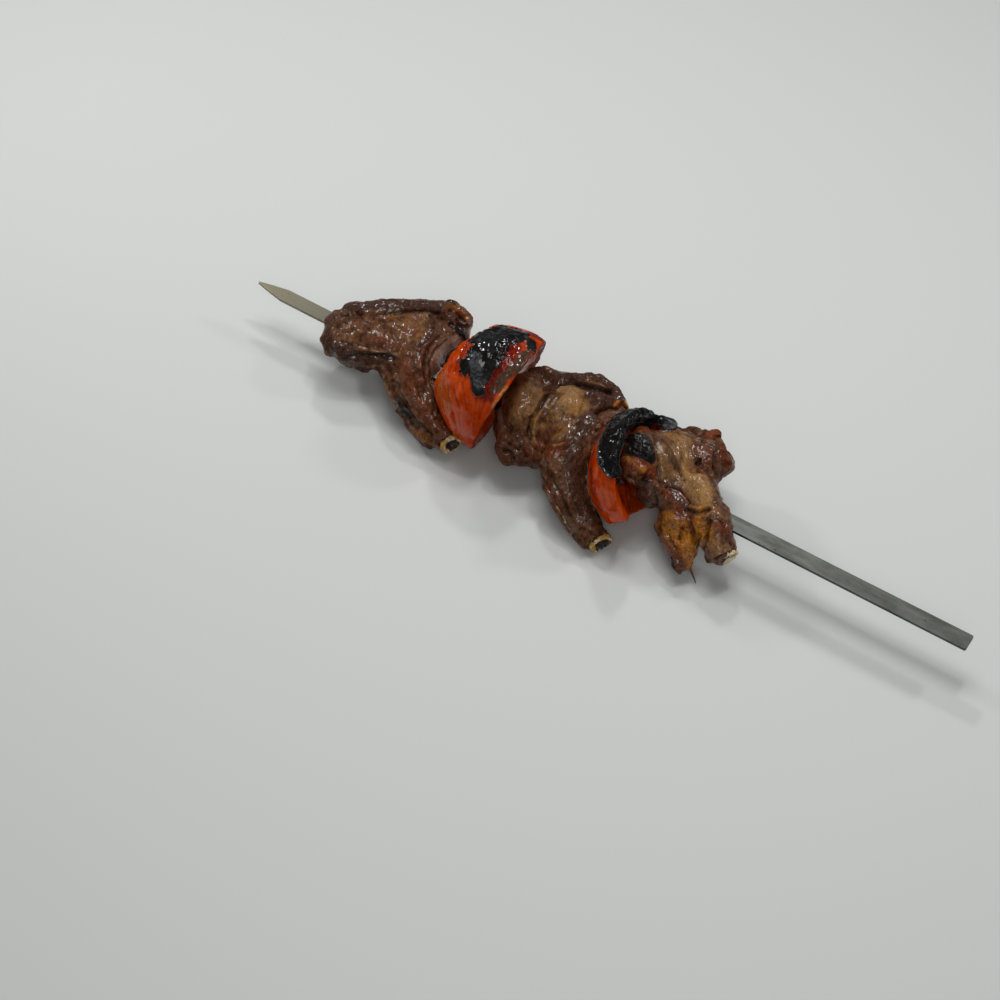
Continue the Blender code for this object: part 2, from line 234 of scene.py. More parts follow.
def new_piece(name: str, bm: bmesh.types.BMesh) -> bpy.types.Object:
    """Turn a bmesh into an object of the scene and free it.

    Args:
        name: name of the object and its mesh.
        bm: its shape, in metres.

    Returns:
        The new object.
    """
    mesh = bpy.data.meshes.new(name)
    bm.to_mesh(mesh)
    bm.free()
    piece = bpy.data.objects.new(name, mesh)
    bpy.context.scene.collection.objects.link(piece)
    return piece


def halve(piece: bpy.types.Object) -> None:
    """Halve and round the squares of a piece's mesh."""
    halves = piece.modifiers.new("halves", "SUBSURF")
    halves.levels = 1
    halves.render_levels = 1


def store_tones(piece: bpy.types.Object, tones: dict[Tone, np.ndarray]) -> None:
    """Keep tones on a piece's points, where its material reads them.

    Args:
        piece: the piece.
        tones: the strength of each tone at each point.
    """
    for tone, strength in tones.items():
        layer = piece.data.attributes.new(tone.value, "FLOAT", "POINT")
        layer.data.foreach_set("value", strength.astype(np.float32))


def dress(piece: bpy.types.Object, material: bpy.types.Material,
          node: str | None = None) -> None:
    """Finish a piece and let it ride on the body.

    Args:
        piece: the piece.
        material: its finish.
        node: the CAD node that it replaces, if any.
    """
    piece.data.materials.clear()
    piece.data.materials.append(material)
    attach(piece, BODY)
    if node:
        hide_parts(node)
    log.info("%s: %d faces", piece.name, len(piece.data.polygons))


def unit(way: Point) -> np.ndarray:
    """A direction of length 1."""
    return np.array(way) / np.linalg.norm(way)


def ease(share: np.ndarray) -> np.ndarray:
    """A smooth step from 0 to 1 over shares from 0 to 1."""
    clipped = np.clip(share, 0.0, 1.0)
    return clipped * clipped * (3 - 2 * clipped)


def rise(value: np.ndarray, start: float, end: float) -> np.ndarray:
    """A smooth step from 0 where a value is at start to 1 where it is at end."""
    return ease((value - start) / (end - start))


def waves(points: np.ndarray, size: float, seed: float = 0.0, grain: np.ndarray | None = None,
          stretch: float = 1.0, octaves: int = 1) -> np.ndarray:
    """Noise between about -1 and 1 at each point.

    Args:
        points: places.
        size: width of its lumps.
        seed: offset that gives another pattern.
        grain: unit direction along which the lumps are longer.
        stretch: how many times longer they are.
        octaves: how many finer layers it has.

    Returns:
        One value for each point.
    """
    scaled = points / size
    if grain is not None and stretch != 1.0:
        along = scaled @ grain
        scaled = scaled - np.outer(along * (1 - 1 / stretch), grain)
    scaled = scaled + seed * SEED_STEP
    rows = scaled.tolist()
    if octaves == 1:
        return np.array([noise.noise(row) for row in rows])
    return np.array([noise.fractal(row, FRACTAL_FALL, FRACTAL_STEP, octaves) for row in rows])


def fall_off(form: Form, share: np.ndarray) -> np.ndarray:
    """How much of a stroke's push is left beside its path.

    Args:
        form: the stroke's form.
        share: distance from the path, in widths of the stroke.

    Returns:
        1 on the path to 0 at the edge, for each point.
    """
    if form is Form.CREASE:
        return np.clip(1 - share / 1.3, 0.0, 1.0) ** 1.6
    if form is Form.RIDGE:
        return np.clip(1 - share / 1.5, 0.0, 1.0) ** 1.3
    if form is Form.PIT:
        return np.clip(1 - share ** 2, 0.0, 1.0)
    return np.clip(1 - (share / 1.5) ** 2, 0.0, 1.0) ** 2


def along_path(path: Path, share: np.ndarray) -> np.ndarray:
    """Find places along a path.

    Args:
        path: its corners.
        share: shares of its length.

    Returns:
        A place for each share.
    """
    corners = np.array(path)
    steps = np.linalg.norm(np.diff(corners, axis=0), axis=1)
    marks = np.concatenate(([0.0], np.cumsum(steps))) / steps.sum()
    return np.stack([np.interp(share, marks, corners[:, axis]) for axis in range(3)], axis=1)


class Surface:
    """A fine skin over a solid, whose points are pushed and toned."""

    MERGE = 0.01  # points of loose triangles that are nearer than this are one
    MELT = 0.5  # how far a pass of melting takes a point towards its neighbours
    BALL_STEP = 0.35  # gap between a blob's balls, in radii of the smaller one
    SHORTEST_STEP = 0.3  # and never less than this
    DEEP_PUSH = 2.4  # a push inwards that gets the full painted shade of a fold
    # strongest painted shade that a pressed fold or pit gets
    MOST_CREASE_SHADE = 0.85
    SMOOTH_PASSES = 6
    FULL_BEND = 0.42  # a point this far off its smoothed place gets full painted shade in a hollow or full painted light on a crown

    def __init__(self, name: str, node: bpy.types.Object, voxel: float, melt: int,
                 blobs: tuple[Blob, ...] = ()) -> None:
        """Copy a node's mesh, melt extra blobs into it and give it a fine even skin.

        Args:
            name: name of the new piece.
            node: the CAD node to copy.
            voxel: size of the first skin's squares, which are then halved.
            melt: passes of smoothing before they are halved.
            blobs: chains of balls to melt in.
        """
        bm = bmesh.new()
        bm.from_mesh(node.data)
        bmesh.ops.remove_doubles(bm, verts=bm.verts, dist=self.MERGE * MM)
        for blob in blobs:
            self._add_blob(bm, blob)
        self.piece = new_piece(name, bm)
        skin = self.piece.modifiers.new("skin", "REMESH")
        skin.mode = "VOXEL"
        skin.voxel_size = voxel * MM
        self._bake()
        smooth = self.piece.modifiers.new("melt", "SMOOTH")
        smooth.factor = self.MELT
        smooth.iterations = melt
        halve(self.piece)
        self._bake()
        self.points = self._read("co") / MM
        self.normals = self._read("normal")
        self.tones: dict[Tone, np.ndarray] = {}

    def _add_blob(self, bm: bmesh.types.BMesh, blob: Blob) -> None:
        """Add a blob's balls to a bmesh.

        Args:
            bm: the bmesh, in metres.
            blob: the blob.
        """
        for (start, end), (first, last) in zip(zip(blob.path, blob.path[1:]),
                                               zip(blob.radii, blob.radii[1:])):
            length = (Vector(end) - Vector(start)).length
            step = max(self.SHORTEST_STEP, min(first, last) * self.BALL_STEP)
            steps = max(2, int(length / step))
            for count in range(steps + 1):
                share = count / steps
                radius = first + (last - first) * share
                place = Vector(start).lerp(Vector(end), share)
                made = bmesh.ops.create_icosphere(bm, subdivisions=2, radius=radius * MM)
                bmesh.ops.translate(bm, vec=place * MM, verts=made["verts"])

    def _bake(self) -> None:
        """Replace the piece's mesh by what its modifiers make."""
        graph = bpy.context.evaluated_depsgraph_get()
        mesh = bpy.data.meshes.new_from_object(self.piece.evaluated_get(graph))
        self.piece.modifiers.clear()
        self.piece.data = mesh

    def _read(self, what: str) -> np.ndarray:
        """Read a vector of every vertex.

        Args:
            what: its name in Blender.

        Returns:
            One row for each vertex.
        """
        values = np.zeros(len(self.piece.data.vertices) * 3)
        self.piece.data.vertices.foreach_get(what, values)
        return values.reshape(-1, 3)

    def settle(self) -> None:
        """Write the points back to the mesh and read its new normals."""
        self.piece.data.vertices.foreach_set("co", (self.points * MM).ravel())
        self.piece.data.update()
        self.normals = self._read("normal")

    def reach(self, path: Path) -> np.ndarray:
        """Measure how far each point is from a path.

        Args:
            path: its corners, or one place.

        Returns:
            A distance for each point.
        """
        corners = [np.array(corner) for corner in path]
        if len(corners) == 1:
            return np.linalg.norm(self.points - corners[0], axis=1)
        best = np.full(len(self.points), np.inf)
        for start, end in zip(corners, corners[1:]):
            way = end - start
            share = np.clip((self.points - start) @ way / max(way @ way, 1e-9), 0.0, 1.0)
            gap = np.linalg.norm(self.points - start - share[:, None] * way, axis=1)
            best = np.minimum(best, gap)
        return best

    def press(self, reliefs: tuple[Stroke, ...]) -> None:
        """Push the surface in or out along strokes, and paint shade into the folds and pits.

        Args:
            reliefs: the strokes, in their order.
        """
        wobble = 1.0 + 0.3 * waves(self.points, 3.0, seed=5.0)
        depth = np.zeros(len(self.points))
        for stroke in reliefs:
            push = fall_off(stroke.kind, self.reach(stroke.path) * wobble / stroke.width)
            self.points += self.normals * (push * stroke.amount)[:, None]
            if stroke.kind in (Form.CREASE, Form.PIT):
                depth = np.maximum(depth, -push * stroke.amount)
        self.settle()
        # Painted shade: the deeper a fold or pit is pressed, the darker it is painted.
        self.raise_tone(Tone.CREASE_SHADE, np.clip(depth / self.DEEP_PUSH, 0.0, self.MOST_CREASE_SHADE))

    def ripple(self, ripple: Ripple, grain: np.ndarray, where: np.ndarray | float = 1.0) -> None:
        """Push the surface about by noise.

        Args:
            ripple: the relief.
            grain: unit direction of its grain.
            where: how much of it each point takes.
        """
        value = waves(self.points, ripple.size, ripple.seed, grain, ripple.stretch, octaves=2)
        if ripple.sharp:
            value = 0.55 - 1.6 * np.clip(0.45 - np.abs(value), 0.0, 0.45)
        self.points += self.normals * (value * ripple.depth * where)[:, None]
        self.settle()

    def tone(self, name: Tone) -> np.ndarray:
        """The strength of a tone at each point, nothing where it isn't laid."""
        return self.tones.get(name, np.zeros(len(self.points)))

    def raise_tone(self, name: Tone, strength: np.ndarray) -> None:
        """Bring a tone up to at least this strength."""
        self.tones[name] = np.maximum(self.tone(name), strength)

    def brush(self, paints: tuple[Stroke, ...]) -> None:
        """Lay tones along strokes, with uneven edges.

        Args:
            paints: the strokes.
        """
        wobble = (1.0 + 0.35 * waves(self.points, 4.5, seed=9.0)
                  + 0.25 * waves(self.points, 1.8, seed=3.0))
        for stroke in paints:
            share = self.reach(stroke.path) * wobble / stroke.width
            self.raise_tone(stroke.kind, stroke.amount * rise(share, 1.35, 0.35))

    def grow_fibres(self, grain: np.ndarray, size: float, depth: float, stretch: float,
                    where: np.ndarray) -> None:
        """Raise fine fibres along the grain and keep their heights as a tone.

        Args:
            grain: unit direction of the fibres.
            size: width of a fibre.
            depth: height of a fibre.
            stretch: how many times longer than wide it is.
            where: how much of them each point takes.
        """
        height = waves(self.points, size, 7.0, grain, stretch, octaves=2)
        self.points += self.normals * (height * depth * where)[:, None]
        self.settle()
        self.tones[Tone.FIBRE] = np.clip(EVEN_FIBRE + 0.8 * height, 0.0, 1.0)

    def find_creases(self) -> None:
        """Paint shade into hollows and light onto crowns, from how the surface bends."""
        mesh = self.piece.data
        pairs = np.zeros(len(mesh.edges) * 2, dtype=np.int64)
        mesh.edges.foreach_get("vertices", pairs)
        first, second = pairs.reshape(-1, 2).T
        count = np.bincount(first, minlength=len(self.points))
        count = np.maximum(1, count + np.bincount(second, minlength=len(self.points)))
        smooth = self.points.copy()
        for _ in range(self.SMOOTH_PASSES):
            total = np.zeros_like(smooth)
            np.add.at(total, first, smooth[second])
            np.add.at(total, second, smooth[first])
            smooth = total / count[:, None]
        depth = np.einsum("ij,ij->i", smooth - self.points, self.normals) / self.FULL_BEND
        self.raise_tone(Tone.CREASE_SHADE, np.clip(depth, 0.0, 1.0))
        self.raise_tone(Tone.CREST_LIGHT, np.clip(-depth, 0.0, 1.0))

    def complete(self, material: bpy.types.Material, node: str) -> None:
        """Keep the skin above the surface below, store its tones and dress it.

        Args:
            material: its finish.
            node: the CAD node that it replaces.
        """
        self.points[:, 2] = np.maximum(self.points[:, 2], 0.0)
        self.settle()
        self.tones.setdefault(Tone.FIBRE, np.full(len(self.points), EVEN_FIBRE))
        store_tones(self.piece, self.tones)
        self.piece.data.shade_smooth()
        dress(self.piece, material, node)


# Finishes


@dataclass(frozen=True)
class Layer:
    """A tone laid over what is below it.

    Attributes:
        tone: where it lies.
        shades: two colours that it wanders between.
        ragged: how far the mottle breaks up its edge.
        edge: tone strength at which it takes over.
        soft: width of that change.
    """

    tone: Tone
    shades: tuple[str, str]
    ragged: float
    edge: float
    soft: float


@dataclass(frozen=True)
class Skin:
    """Cooked food's skin: mottled colour under patches of tone, oily, with a fine grain.

    Attributes:
        name: the material's name.
        shades: colours from the darkest mottle to the lightest.
        layers: tones from the lowest to the highest.
        mottle_mm: width of the colour mottle.
        grain_mm: width of the fine bump.
        gloss: roughness from the oiliest spots to the driest.
        bump_mm: depth of the fine bump.
        crease_shade: colour of the shade painted into creases.
        crest_light_gain: how much lighter the painted light makes the crowns.
        fibre_gain: how much the fibres change the brightness.
        sheen_level: how strongly the dry surface itself reflects.
        wet: how much of an oily or juicy film lies on it, from the driest to the wettest spots.
        film_rough: roughness of that film.
        film_mm: depth of its small waves.
        film_grain_mm: width of those waves.
    """

    name: str
    shades: tuple[str, str, str]
    layers: tuple[Layer, ...]
    mottle_mm: float
    grain_mm: float
    gloss: tuple[float, float]
    bump_mm: float
    crease_shade: str
    crest_light_gain: float = 0.25
    fibre_gain: float = 0.16
    sheen_level: float = 0.08
    wet: tuple[float, float] = (0.0, 0.75)
    film_rough: float = 0.10
    film_mm: float = 0.18
    film_grain_mm: float = 1.6

    def make(self) -> bpy.types.Material:
        """Build the material.

        Returns:
            The material.
        """
        material, shader = new_material(self.name)
        tree = material.node_tree
        place = add_node(tree, "ShaderNodeTexCoord").outputs["Object"]
        broad, mottle, grain, pools = (
            add_node(tree, "ShaderNodeTexNoise", {"Scale": 1 / (width * MM), **settings},
                     {"Vector": place}).outputs["Fac"]
            for width, settings in (
                (self.mottle_mm * BROAD_MOTTLE, {"Detail": 2.0}),
                (self.mottle_mm, {"Detail": 4.0, "Roughness": 0.5}),
                (self.grain_mm, {"Detail": 3.0, "Roughness": 0.6}),
                (self.film_grain_mm, {"Detail": 1.0}),
            ))
        colour = self._layered(tree, self._mottled(tree, broad, mottle), mottle, grain)
        bump = add_node(tree, "ShaderNodeBump", {"Strength": 1.0, "Distance": self.bump_mm * MM},
                        {"Height": grain}).outputs["Normal"]
        plug(tree, shader, {"IOR": FOOD_IOR, "Specular IOR Level": self.sheen_level},
             {"Base Color": colour, "Roughness": self._roughness(tree, mottle, grain),
              "Normal": bump})
        self._film(tree, shader, broad, mottle, pools)
        return material

    def _film(self, tree: bpy.types.NodeTree, shader: bpy.types.Node,
              broad: bpy.types.NodeSocket, mottle: bpy.types.NodeSocket,
              pools: bpy.types.NodeSocket) -> None:
        """Lay a thin film of oil or juice, thicker in some patches than in others.

        Args:
            tree: the node tree.
            shader: its shader.
            broad: noise of the broad patches.
            mottle: noise of the mottle.
            pools: noise of the film's small waves.
        """
        both = add_node(tree, "ShaderNodeMath", {}, {0: broad, 1: mottle},
                        operation="ADD").outputs[0]
        dry, wet = self.wet
        weight = add_node(tree, "ShaderNodeMapRange",
                          {"From Min": 0.94, "From Max": 1.08, "To Min": dry, "To Max": wet},
                          {"Value": both}).outputs["Result"]
        swell = add_node(tree, "ShaderNodeBump", {"Strength": 1.0, "Distance": self.film_mm * MM},
                         {"Height": pools}).outputs["Normal"]
        plug(tree, shader, {"Coat Roughness": self.film_rough, "Coat IOR": FILM_IOR},
             {"Coat Weight": weight, "Coat Normal": swell})

    def _mottled(self, tree: bpy.types.NodeTree, broad: bpy.types.NodeSocket,
                 mottle: bpy.types.NodeSocket) -> bpy.types.NodeSocket:
        """Let the colour wander between the three shades.

        Args:
            tree: the node tree.
            broad: noise of the broad patches.
            mottle: noise of the mottle.

        Returns:
            The colour.
        """
        level = add_node(tree, "ShaderNodeMath", {1: 0.45}, {0: broad, 2: mottle},
                         operation="MULTIPLY_ADD").outputs[0]
        low, high = (
            add_node(tree, "ShaderNodeMapRange", {"From Min": start, "From Max": end},
                     {"Value": level}, interpolation_type="SMOOTHSTEP").outputs["Result"]
            for start, end in ((0.52, 0.74), (0.74, 0.96)))
        dark, middle, light = (linear(shade) for shade in self.shades)
        first = add_node(tree, "ShaderNodeMix", {6: dark, 7: middle}, {0: low}, data_type="RGBA")
        return add_node(tree, "ShaderNodeMix", {7: light}, {0: high, 6: first.outputs[2]},
                        data_type="RGBA").outputs[2]

    def _layered(self, tree: bpy.types.NodeTree, colour: bpy.types.NodeSocket,
                 mottle: bpy.types.NodeSocket,
                 grain: bpy.types.NodeSocket) -> bpy.types.NodeSocket:
        """Lay the tones over the mottled colour, then paint light onto crests and paint shade into
        crevices.

        Args:
            tree: the node tree.
            colour: the mottled colour.
            mottle: noise of the mottle.
            grain: noise of the fine grain.

        Returns:
            The colour.
        """
        crest_light, fibre, crease_shade = (
            add_node(tree, "ShaderNodeAttribute", attribute_name=tone.value).outputs["Fac"]
            for tone in (Tone.CREST_LIGHT, Tone.FIBRE, Tone.CREASE_SHADE))
        wander = add_node(tree, "ShaderNodeMapRange", {"From Min": 0.38, "From Max": 0.62},
                          {"Value": grain}).outputs["Result"]
        for layer in self.layers:
            tone = add_node(tree, "ShaderNodeAttribute",
                            attribute_name=layer.tone.value).outputs["Fac"]
            broken = add_node(tree, "ShaderNodeMath", {1: layer.ragged, 2: -layer.ragged / 2},
                              {0: mottle}, operation="MULTIPLY_ADD").outputs[0]
            reach = add_node(tree, "ShaderNodeMath", {}, {0: tone, 1: broken},
                             operation="ADD").outputs[0]
            cover = add_node(tree, "ShaderNodeMapRange",
                             {"From Min": layer.edge - layer.soft / 2,
                              "From Max": layer.edge + layer.soft / 2},
                             {"Value": reach}, interpolation_type="SMOOTHSTEP").outputs["Result"]
            there = add_node(tree, "ShaderNodeMapRange", {"From Max": 0.12},
                             {"Value": tone}).outputs["Result"]
            share = add_node(tree, "ShaderNodeMath", {}, {0: cover, 1: there},
                             operation="MULTIPLY").outputs[0]
            first, second = (linear(shade) for shade in layer.shades)
            shade = add_node(tree, "ShaderNodeMix", {6: first, 7: second}, {0: wander},
                             data_type="RGBA").outputs[2]
            colour = add_node(tree, "ShaderNodeMix", {}, {0: share, 6: colour, 7: shade},
                              data_type="RGBA").outputs[2]
        # Painted light: crowns are made lighter. The fibre streaks are the food's own grain.
        gain, streak = (
            add_node(tree, "ShaderNodeMapRange", {"To Min": least, "To Max": most},
                     {"Value": value}).outputs["Result"]
            for least, most, value in (
                (1.0, 1.0 + self.crest_light_gain, crest_light),
                (1.0 - self.fibre_gain, 1.0 + self.fibre_gain, fibre)))
        both = add_node(tree, "ShaderNodeMath", {}, {0: gain, 1: streak},
                        operation="MULTIPLY").outputs[0]
        lit = add_node(tree, "ShaderNodeVectorMath", {}, {0: colour, "Scale": both},
                       operation="SCALE").outputs[0]
        # Painted shade: hollows and pressed folds are darkened towards the crease_shade colour.
        deep = add_node(tree, "ShaderNodeMath", {1: 0.8}, {0: crease_shade},
                        operation="MULTIPLY").outputs[0]
        return add_node(tree, "ShaderNodeMix", {7: linear(self.crease_shade)}, {0: deep, 6: lit},
                        data_type="RGBA").outputs[2]

    def _roughness(self, tree: bpy.types.NodeTree, mottle: bpy.types.NodeSocket,
                   grain: bpy.types.NodeSocket) -> bpy.types.NodeSocket:
        """Let the roughness go from oily to dry spots.

        Args:
            tree: the node tree.
            mottle: noise of the mottle.
            grain: noise of the fine grain.

        Returns:
            The roughness.
        """
        both = add_node(tree, "ShaderNodeMath", {}, {0: mottle, 1: grain},
                        operation="ADD").outputs[0]
        oily, dry = self.gloss
        return add_node(tree, "ShaderNodeMapRange",
                        {"From Min": 0.85, "From Max": 1.15, "To Min": oily, "To Max": dry},
                        {"Value": both}).outputs["Result"]


# Grilled lamb: browned on embers, so it is purple-brown to tan, with black edges and amber fat.
LAMB = Skin(
    name="grilled lamb",
    shades=("#361D11", "#583721", "#795132"),
    layers=(
        Layer(Tone.PALE, ("#805A36", "#967244"), ragged=0.6, edge=0.5, soft=1.1),
        Layer(Tone.FAT, ("#7C4412", "#A86E24"), ragged=0.8, edge=0.5, soft=1.0),
        Layer(Tone.GLAZE, ("#4A1E10", "#78391C"), ragged=1.4, edge=0.5, soft=1.0),
        Layer(Tone.SMOOTH, ("#70503F", "#886654"), ragged=0.3, edge=0.45, soft=0.5),
        Layer(Tone.SEAR, ("#281711", "#4E3225"), ragged=1.4, edge=0.5, soft=0.9),
        Layer(Tone.BONE, ("#96784A", "#CDB582"), ragged=1.0, edge=0.5, soft=0.6),
        Layer(Tone.CHAR, ("#0B0A0A", "#1F1B19"), ragged=1.0, edge=0.5, soft=0.4),
    ),
    mottle_mm=2.8,
    grain_mm=0.8,
    gloss=(0.3, 0.6),
    bump_mm=0.35,
    # Colour of the painted shade in creases, then the strength of the painted light on crowns.
    crease_shade="#190C08",
    crest_light_gain=0.35,
)

# Tomato skin: smooth and glossy, orange where it is thin, black and flaky where it burnt.
TOMATO = Skin(
    name="grilled tomato",
    shades=("#A02A00", "#B03800", "#BC4402"),
    layers=(
        Layer(Tone.ORANGE, ("#9A3C00", "#A84A00"), ragged=0.5, edge=0.5, soft=1.0),
        Layer(Tone.FLESH, ("#8C1E04", "#AC380A"), ragged=0.6, edge=0.5, soft=0.2),
        Layer(Tone.DEEP, ("#4E1008", "#7A1C0A"), ragged=1.1, edge=0.5, soft=0.8),
        Layer(Tone.OLIVE, ("#34291F", "#523628"), ragged=1.3, edge=0.45, soft=0.9),
        Layer(Tone.PALE, ("#964812", "#B07838"), ragged=1.6, edge=0.6, soft=0.8),
        Layer(Tone.CHAR, ("#0A0B0B", "#171717"), ragged=0.8, edge=0.5, soft=0.16),
        # Painted sheen: grey reflections painted over the burnt skin.
        Layer(Tone.PAINTED_SHEEN, ("#222425", "#505354"), ragged=1.2, edge=0.7, soft=0.8),
    ),
    mottle_mm=4.0,
    grain_mm=1.2,
    gloss=(0.25, 0.4),
    bump_mm=0.10,
    # Colour of the painted shade in creases, then the strength of the painted light on crowns.
    crease_shade="#3E0D05",
    crest_light_gain=0.12,
    fibre_gain=0.10,
    sheen_level=0.0,
    wet=(0.12, 0.7),
    film_rough=0.06,
    film_mm=0.10,
    film_grain_mm=2.4,
)

# Rib bone: sawn, cream and golden where it bared in the fire, dark porous marrow in its end.
RIB_BONE = Skin(
    name="rib bone",
    shades=("#A98A5C", "#D3BF94", "#E6DBBE"),
    layers=(
        Layer(Tone.SEAR, ("#4A2E22", "#6E4A36"), ragged=1.0, edge=0.5, soft=0.5),
        Layer(Tone.FAT, ("#9A6A2C", "#C09A50"), ragged=1.0, edge=0.5, soft=0.5),
        Layer(Tone.MARROW, ("#1E1916", "#574D44"), ragged=0.8, edge=0.5, soft=0.25),
    ),
    mottle_mm=2.2,
    grain_mm=0.6,
    gloss=(0.3, 0.6),
    bump_mm=0.25,
    # Colour of the painted shade in creases.
    crease_shade="#3A2417",
)


@dataclass(frozen=True)
class FlatSteel:
    """Plain carbon steel bar, rolled flat and dulled by fire and grease: mottled grey.

    Attributes:
        name: the material's name.
        clean: colour where it is clean.
        stained: colour of the heat stains.
        ground: colour of the ground point.
        speck: colour of the burnt-on specks.
        stain_mm: width of the stains across the bar.
        speck_mm: width of the noise that the specks come from.
        bump_mm: depth of its pits.
        point: X, in metres, where the ground colour begins and where it is full.
    """

    name: str = "flat skewer steel"
    clean: str = "#63645F"
    stained: str = "#4A4B47"
    ground: str = "#8E8874"
    speck: str = "#2B1D14"
    stain_mm: float = 3.5
    speck_mm: float = 1.6
    bump_mm: float = 0.08
    point: tuple[float, float] = (-0.12, -0.20)

    def make(self) -> bpy.types.Material:
        """Build the material.

        Returns:
            The material.
        """
        material, shader = new_material(self.name)
        tree = material.node_tree
        place = add_node(tree, "ShaderNodeTexCoord").outputs["Object"]
        # Rolling drew the stains out along the bar.
        streaks = add_node(tree, "ShaderNodeMapping", {"Scale": (0.25, 1.0, 1.0)},
                           {"Vector": place}).outputs["Vector"]
        cloud = add_node(tree, "ShaderNodeTexNoise",
                         {"Scale": 1 / (self.stain_mm * MM), "Detail": 6.0, "Roughness": 0.7},
                         {"Vector": streaks}).outputs["Fac"]
        speckle = add_node(tree, "ShaderNodeTexNoise",
                           {"Scale": 1 / (self.speck_mm * MM), "Detail": 2.0},
                           {"Vector": place}).outputs["Fac"]
        along = add_node(tree, "ShaderNodeSeparateXYZ", {}, {"Vector": place}).outputs["X"]
        stain = add_node(tree, "ShaderNodeMapRange", {"From Min": 0.35, "From Max": 0.65},
                         {"Value": cloud}).outputs["Result"]
        start, full = self.point
        point = add_node(tree, "ShaderNodeMapRange", {"From Min": start, "From Max": full},
                         {"Value": along}, interpolation_type="SMOOTHSTEP").outputs["Result"]
        spots = add_node(tree, "ShaderNodeMapRange", {"From Min": 0.70, "From Max": 0.74},
                         {"Value": speckle}).outputs["Result"]
        colour = add_node(tree, "ShaderNodeMix",
                          {6: linear(self.clean), 7: linear(self.stained)}, {0: stain},
                          data_type="RGBA").outputs[2]
        for shade, share in ((self.ground, point), (self.speck, spots)):
            colour = add_node(tree, "ShaderNodeMix", {7: linear(shade)}, {0: share, 6: colour},
                              data_type="RGBA").outputs[2]
        rough = add_node(tree, "ShaderNodeMapRange", {"To Min": 0.34, "To Max": 0.52},
                         {"Value": cloud}).outputs["Result"]
        bump = add_node(tree, "ShaderNodeBump", {"Strength": 0.5, "Distance": self.bump_mm * MM},
                        {"Height": cloud}).outputs["Normal"]
        plug(tree, shader, {"Metallic": 1.0},
             {"Base Color": colour, "Roughness": rough, "Normal": bump})
        return material


# Pieces


@dataclass
class Chop:
    """A lamb rib chop's meat.

    Attributes:
        node: the CAD node.
        grain: direction of its fibres.
        rib_end: middle of the rib's sawn end.
        rib_way: direction in which the rib leaves the meat.
        blobs: lumps melted into it.
        reliefs: its folds and swellings.
        paints: its browning, fat and burnt spots.
        voxel: size of its first skin's squares.
        bare_depth: how much thinner the meat is beside the rib's end.
        ripples: its uneven relief.
        fibre: width, height and stretch of its fibres.
    """

    node: str
    grain: Point
    rib_end: Point
    rib_way: Point
    blobs: tuple[Blob, ...]
    reliefs: tuple[Stroke, ...]
    paints: tuple[Stroke, ...]
    voxel: float = 0.94
    bare_depth: float = 0.7
    ripples: tuple[Ripple, ...] = (
        Ripple(size=7.0, depth=0.7, seed=1.0),
        Ripple(size=3.6, depth=0.42, seed=2.0, stretch=2.0, sharp=True),
        Ripple(size=1.8, depth=0.2, seed=3.0, stretch=2.4),
    )
    fibre: tuple[float, float, float] = (1.1, 0.13, 3.5)

    def build(self, material: bpy.types.Material, nodes: dict[str, bpy.types.Object]) -> None:
        """Model the meat, tone it and dress it.

        Args:
            material: its finish.
            nodes: the CAD nodes by name.
        """
        skin = Surface(self.node + "_skin", nodes[self.node], self.voxel, 4, self.blobs)
        grain = unit(self.grain)
        skin.brush(self.paints)
        calm = 1.0 - 0.75 * np.maximum(skin.tone(Tone.SMOOTH), 0.7 * skin.tone(Tone.PALE))
        calm *= np.clip(0.8 + 1.1 * waves(skin.points, 9.0, seed=11.0), 0.35, 1.3)
        for ripple in self.ripples:
            skin.ripple(ripple, grain, calm)
        skin.press(self.reliefs)
        skin.grow_fibres(grain, *self.fibre, calm)
        self._bare_rib(skin)
        self._pebble(skin)
        self._roast(skin)
        skin.find_creases()
        skin.complete(material, self.node)

    def _bare_rib(self, skin: Surface) -> None:
        """Draw the meat back a little from the rib's sawn end.

        Args:
            skin: the chop's surface.
        """
        way = unit(self.rib_way)
        away = skin.points - np.array(self.rib_end)
        along = away @ way
        aside = away - np.outer(along, way)
        out = np.linalg.norm(aside, axis=1)
        near = rise(along, -4.5, -1.0) * rise(out, 12.0, 8.0)
        back = 1.4 + 0.4 * np.clip(aside[:, 2] + 2.0, 0.0, 8.0)
        outwards = aside / np.maximum(out, 0.1)[:, None]
        skin.points -= np.outer(near * back, way) + outwards * (near * self.bare_depth)[:, None]
        skin.settle()

    @staticmethod
    def _pebble(skin: Surface, width: float = 1.5, height: float = 1.3) -> None:
        """Raise beads of burnt crust.

        Args:
            skin: the chop's surface.
            width: width of a bead.
            height: height of a bead where the crust is thickest.
        """
        where = skin.tone(Tone.PEBBLE)
        burnt = np.flatnonzero(where > 0.05)
        rows = (skin.points[burnt] / width).tolist()
        beads = np.array([0.55 - noise.voronoi(row)[0][0] for row in rows])
        skin.points[burnt] += skin.normals[burnt] * (height * where[burnt] * beads)[:, None]
        skin.settle()

    @staticmethod
    def _roast(skin: Surface) -> None:
        """Brown the meat where no stroke says otherwise, more on the underside.

        Args:
            skin: the chop's surface.
        """
        patches = waves(skin.points, 11.0, seed=31.0, octaves=2)
        under = np.clip(0.35 - skin.normals[:, 2], 0.0, 1.0)
        skin.raise_tone(Tone.SEAR, ease(0.25 + 0.9 * patches + 0.25 * under) * 0.55)
        skin.raise_tone(Tone.GLAZE, ease(0.1 + waves(skin.points, 8.0, seed=41.0)) * 0.4)


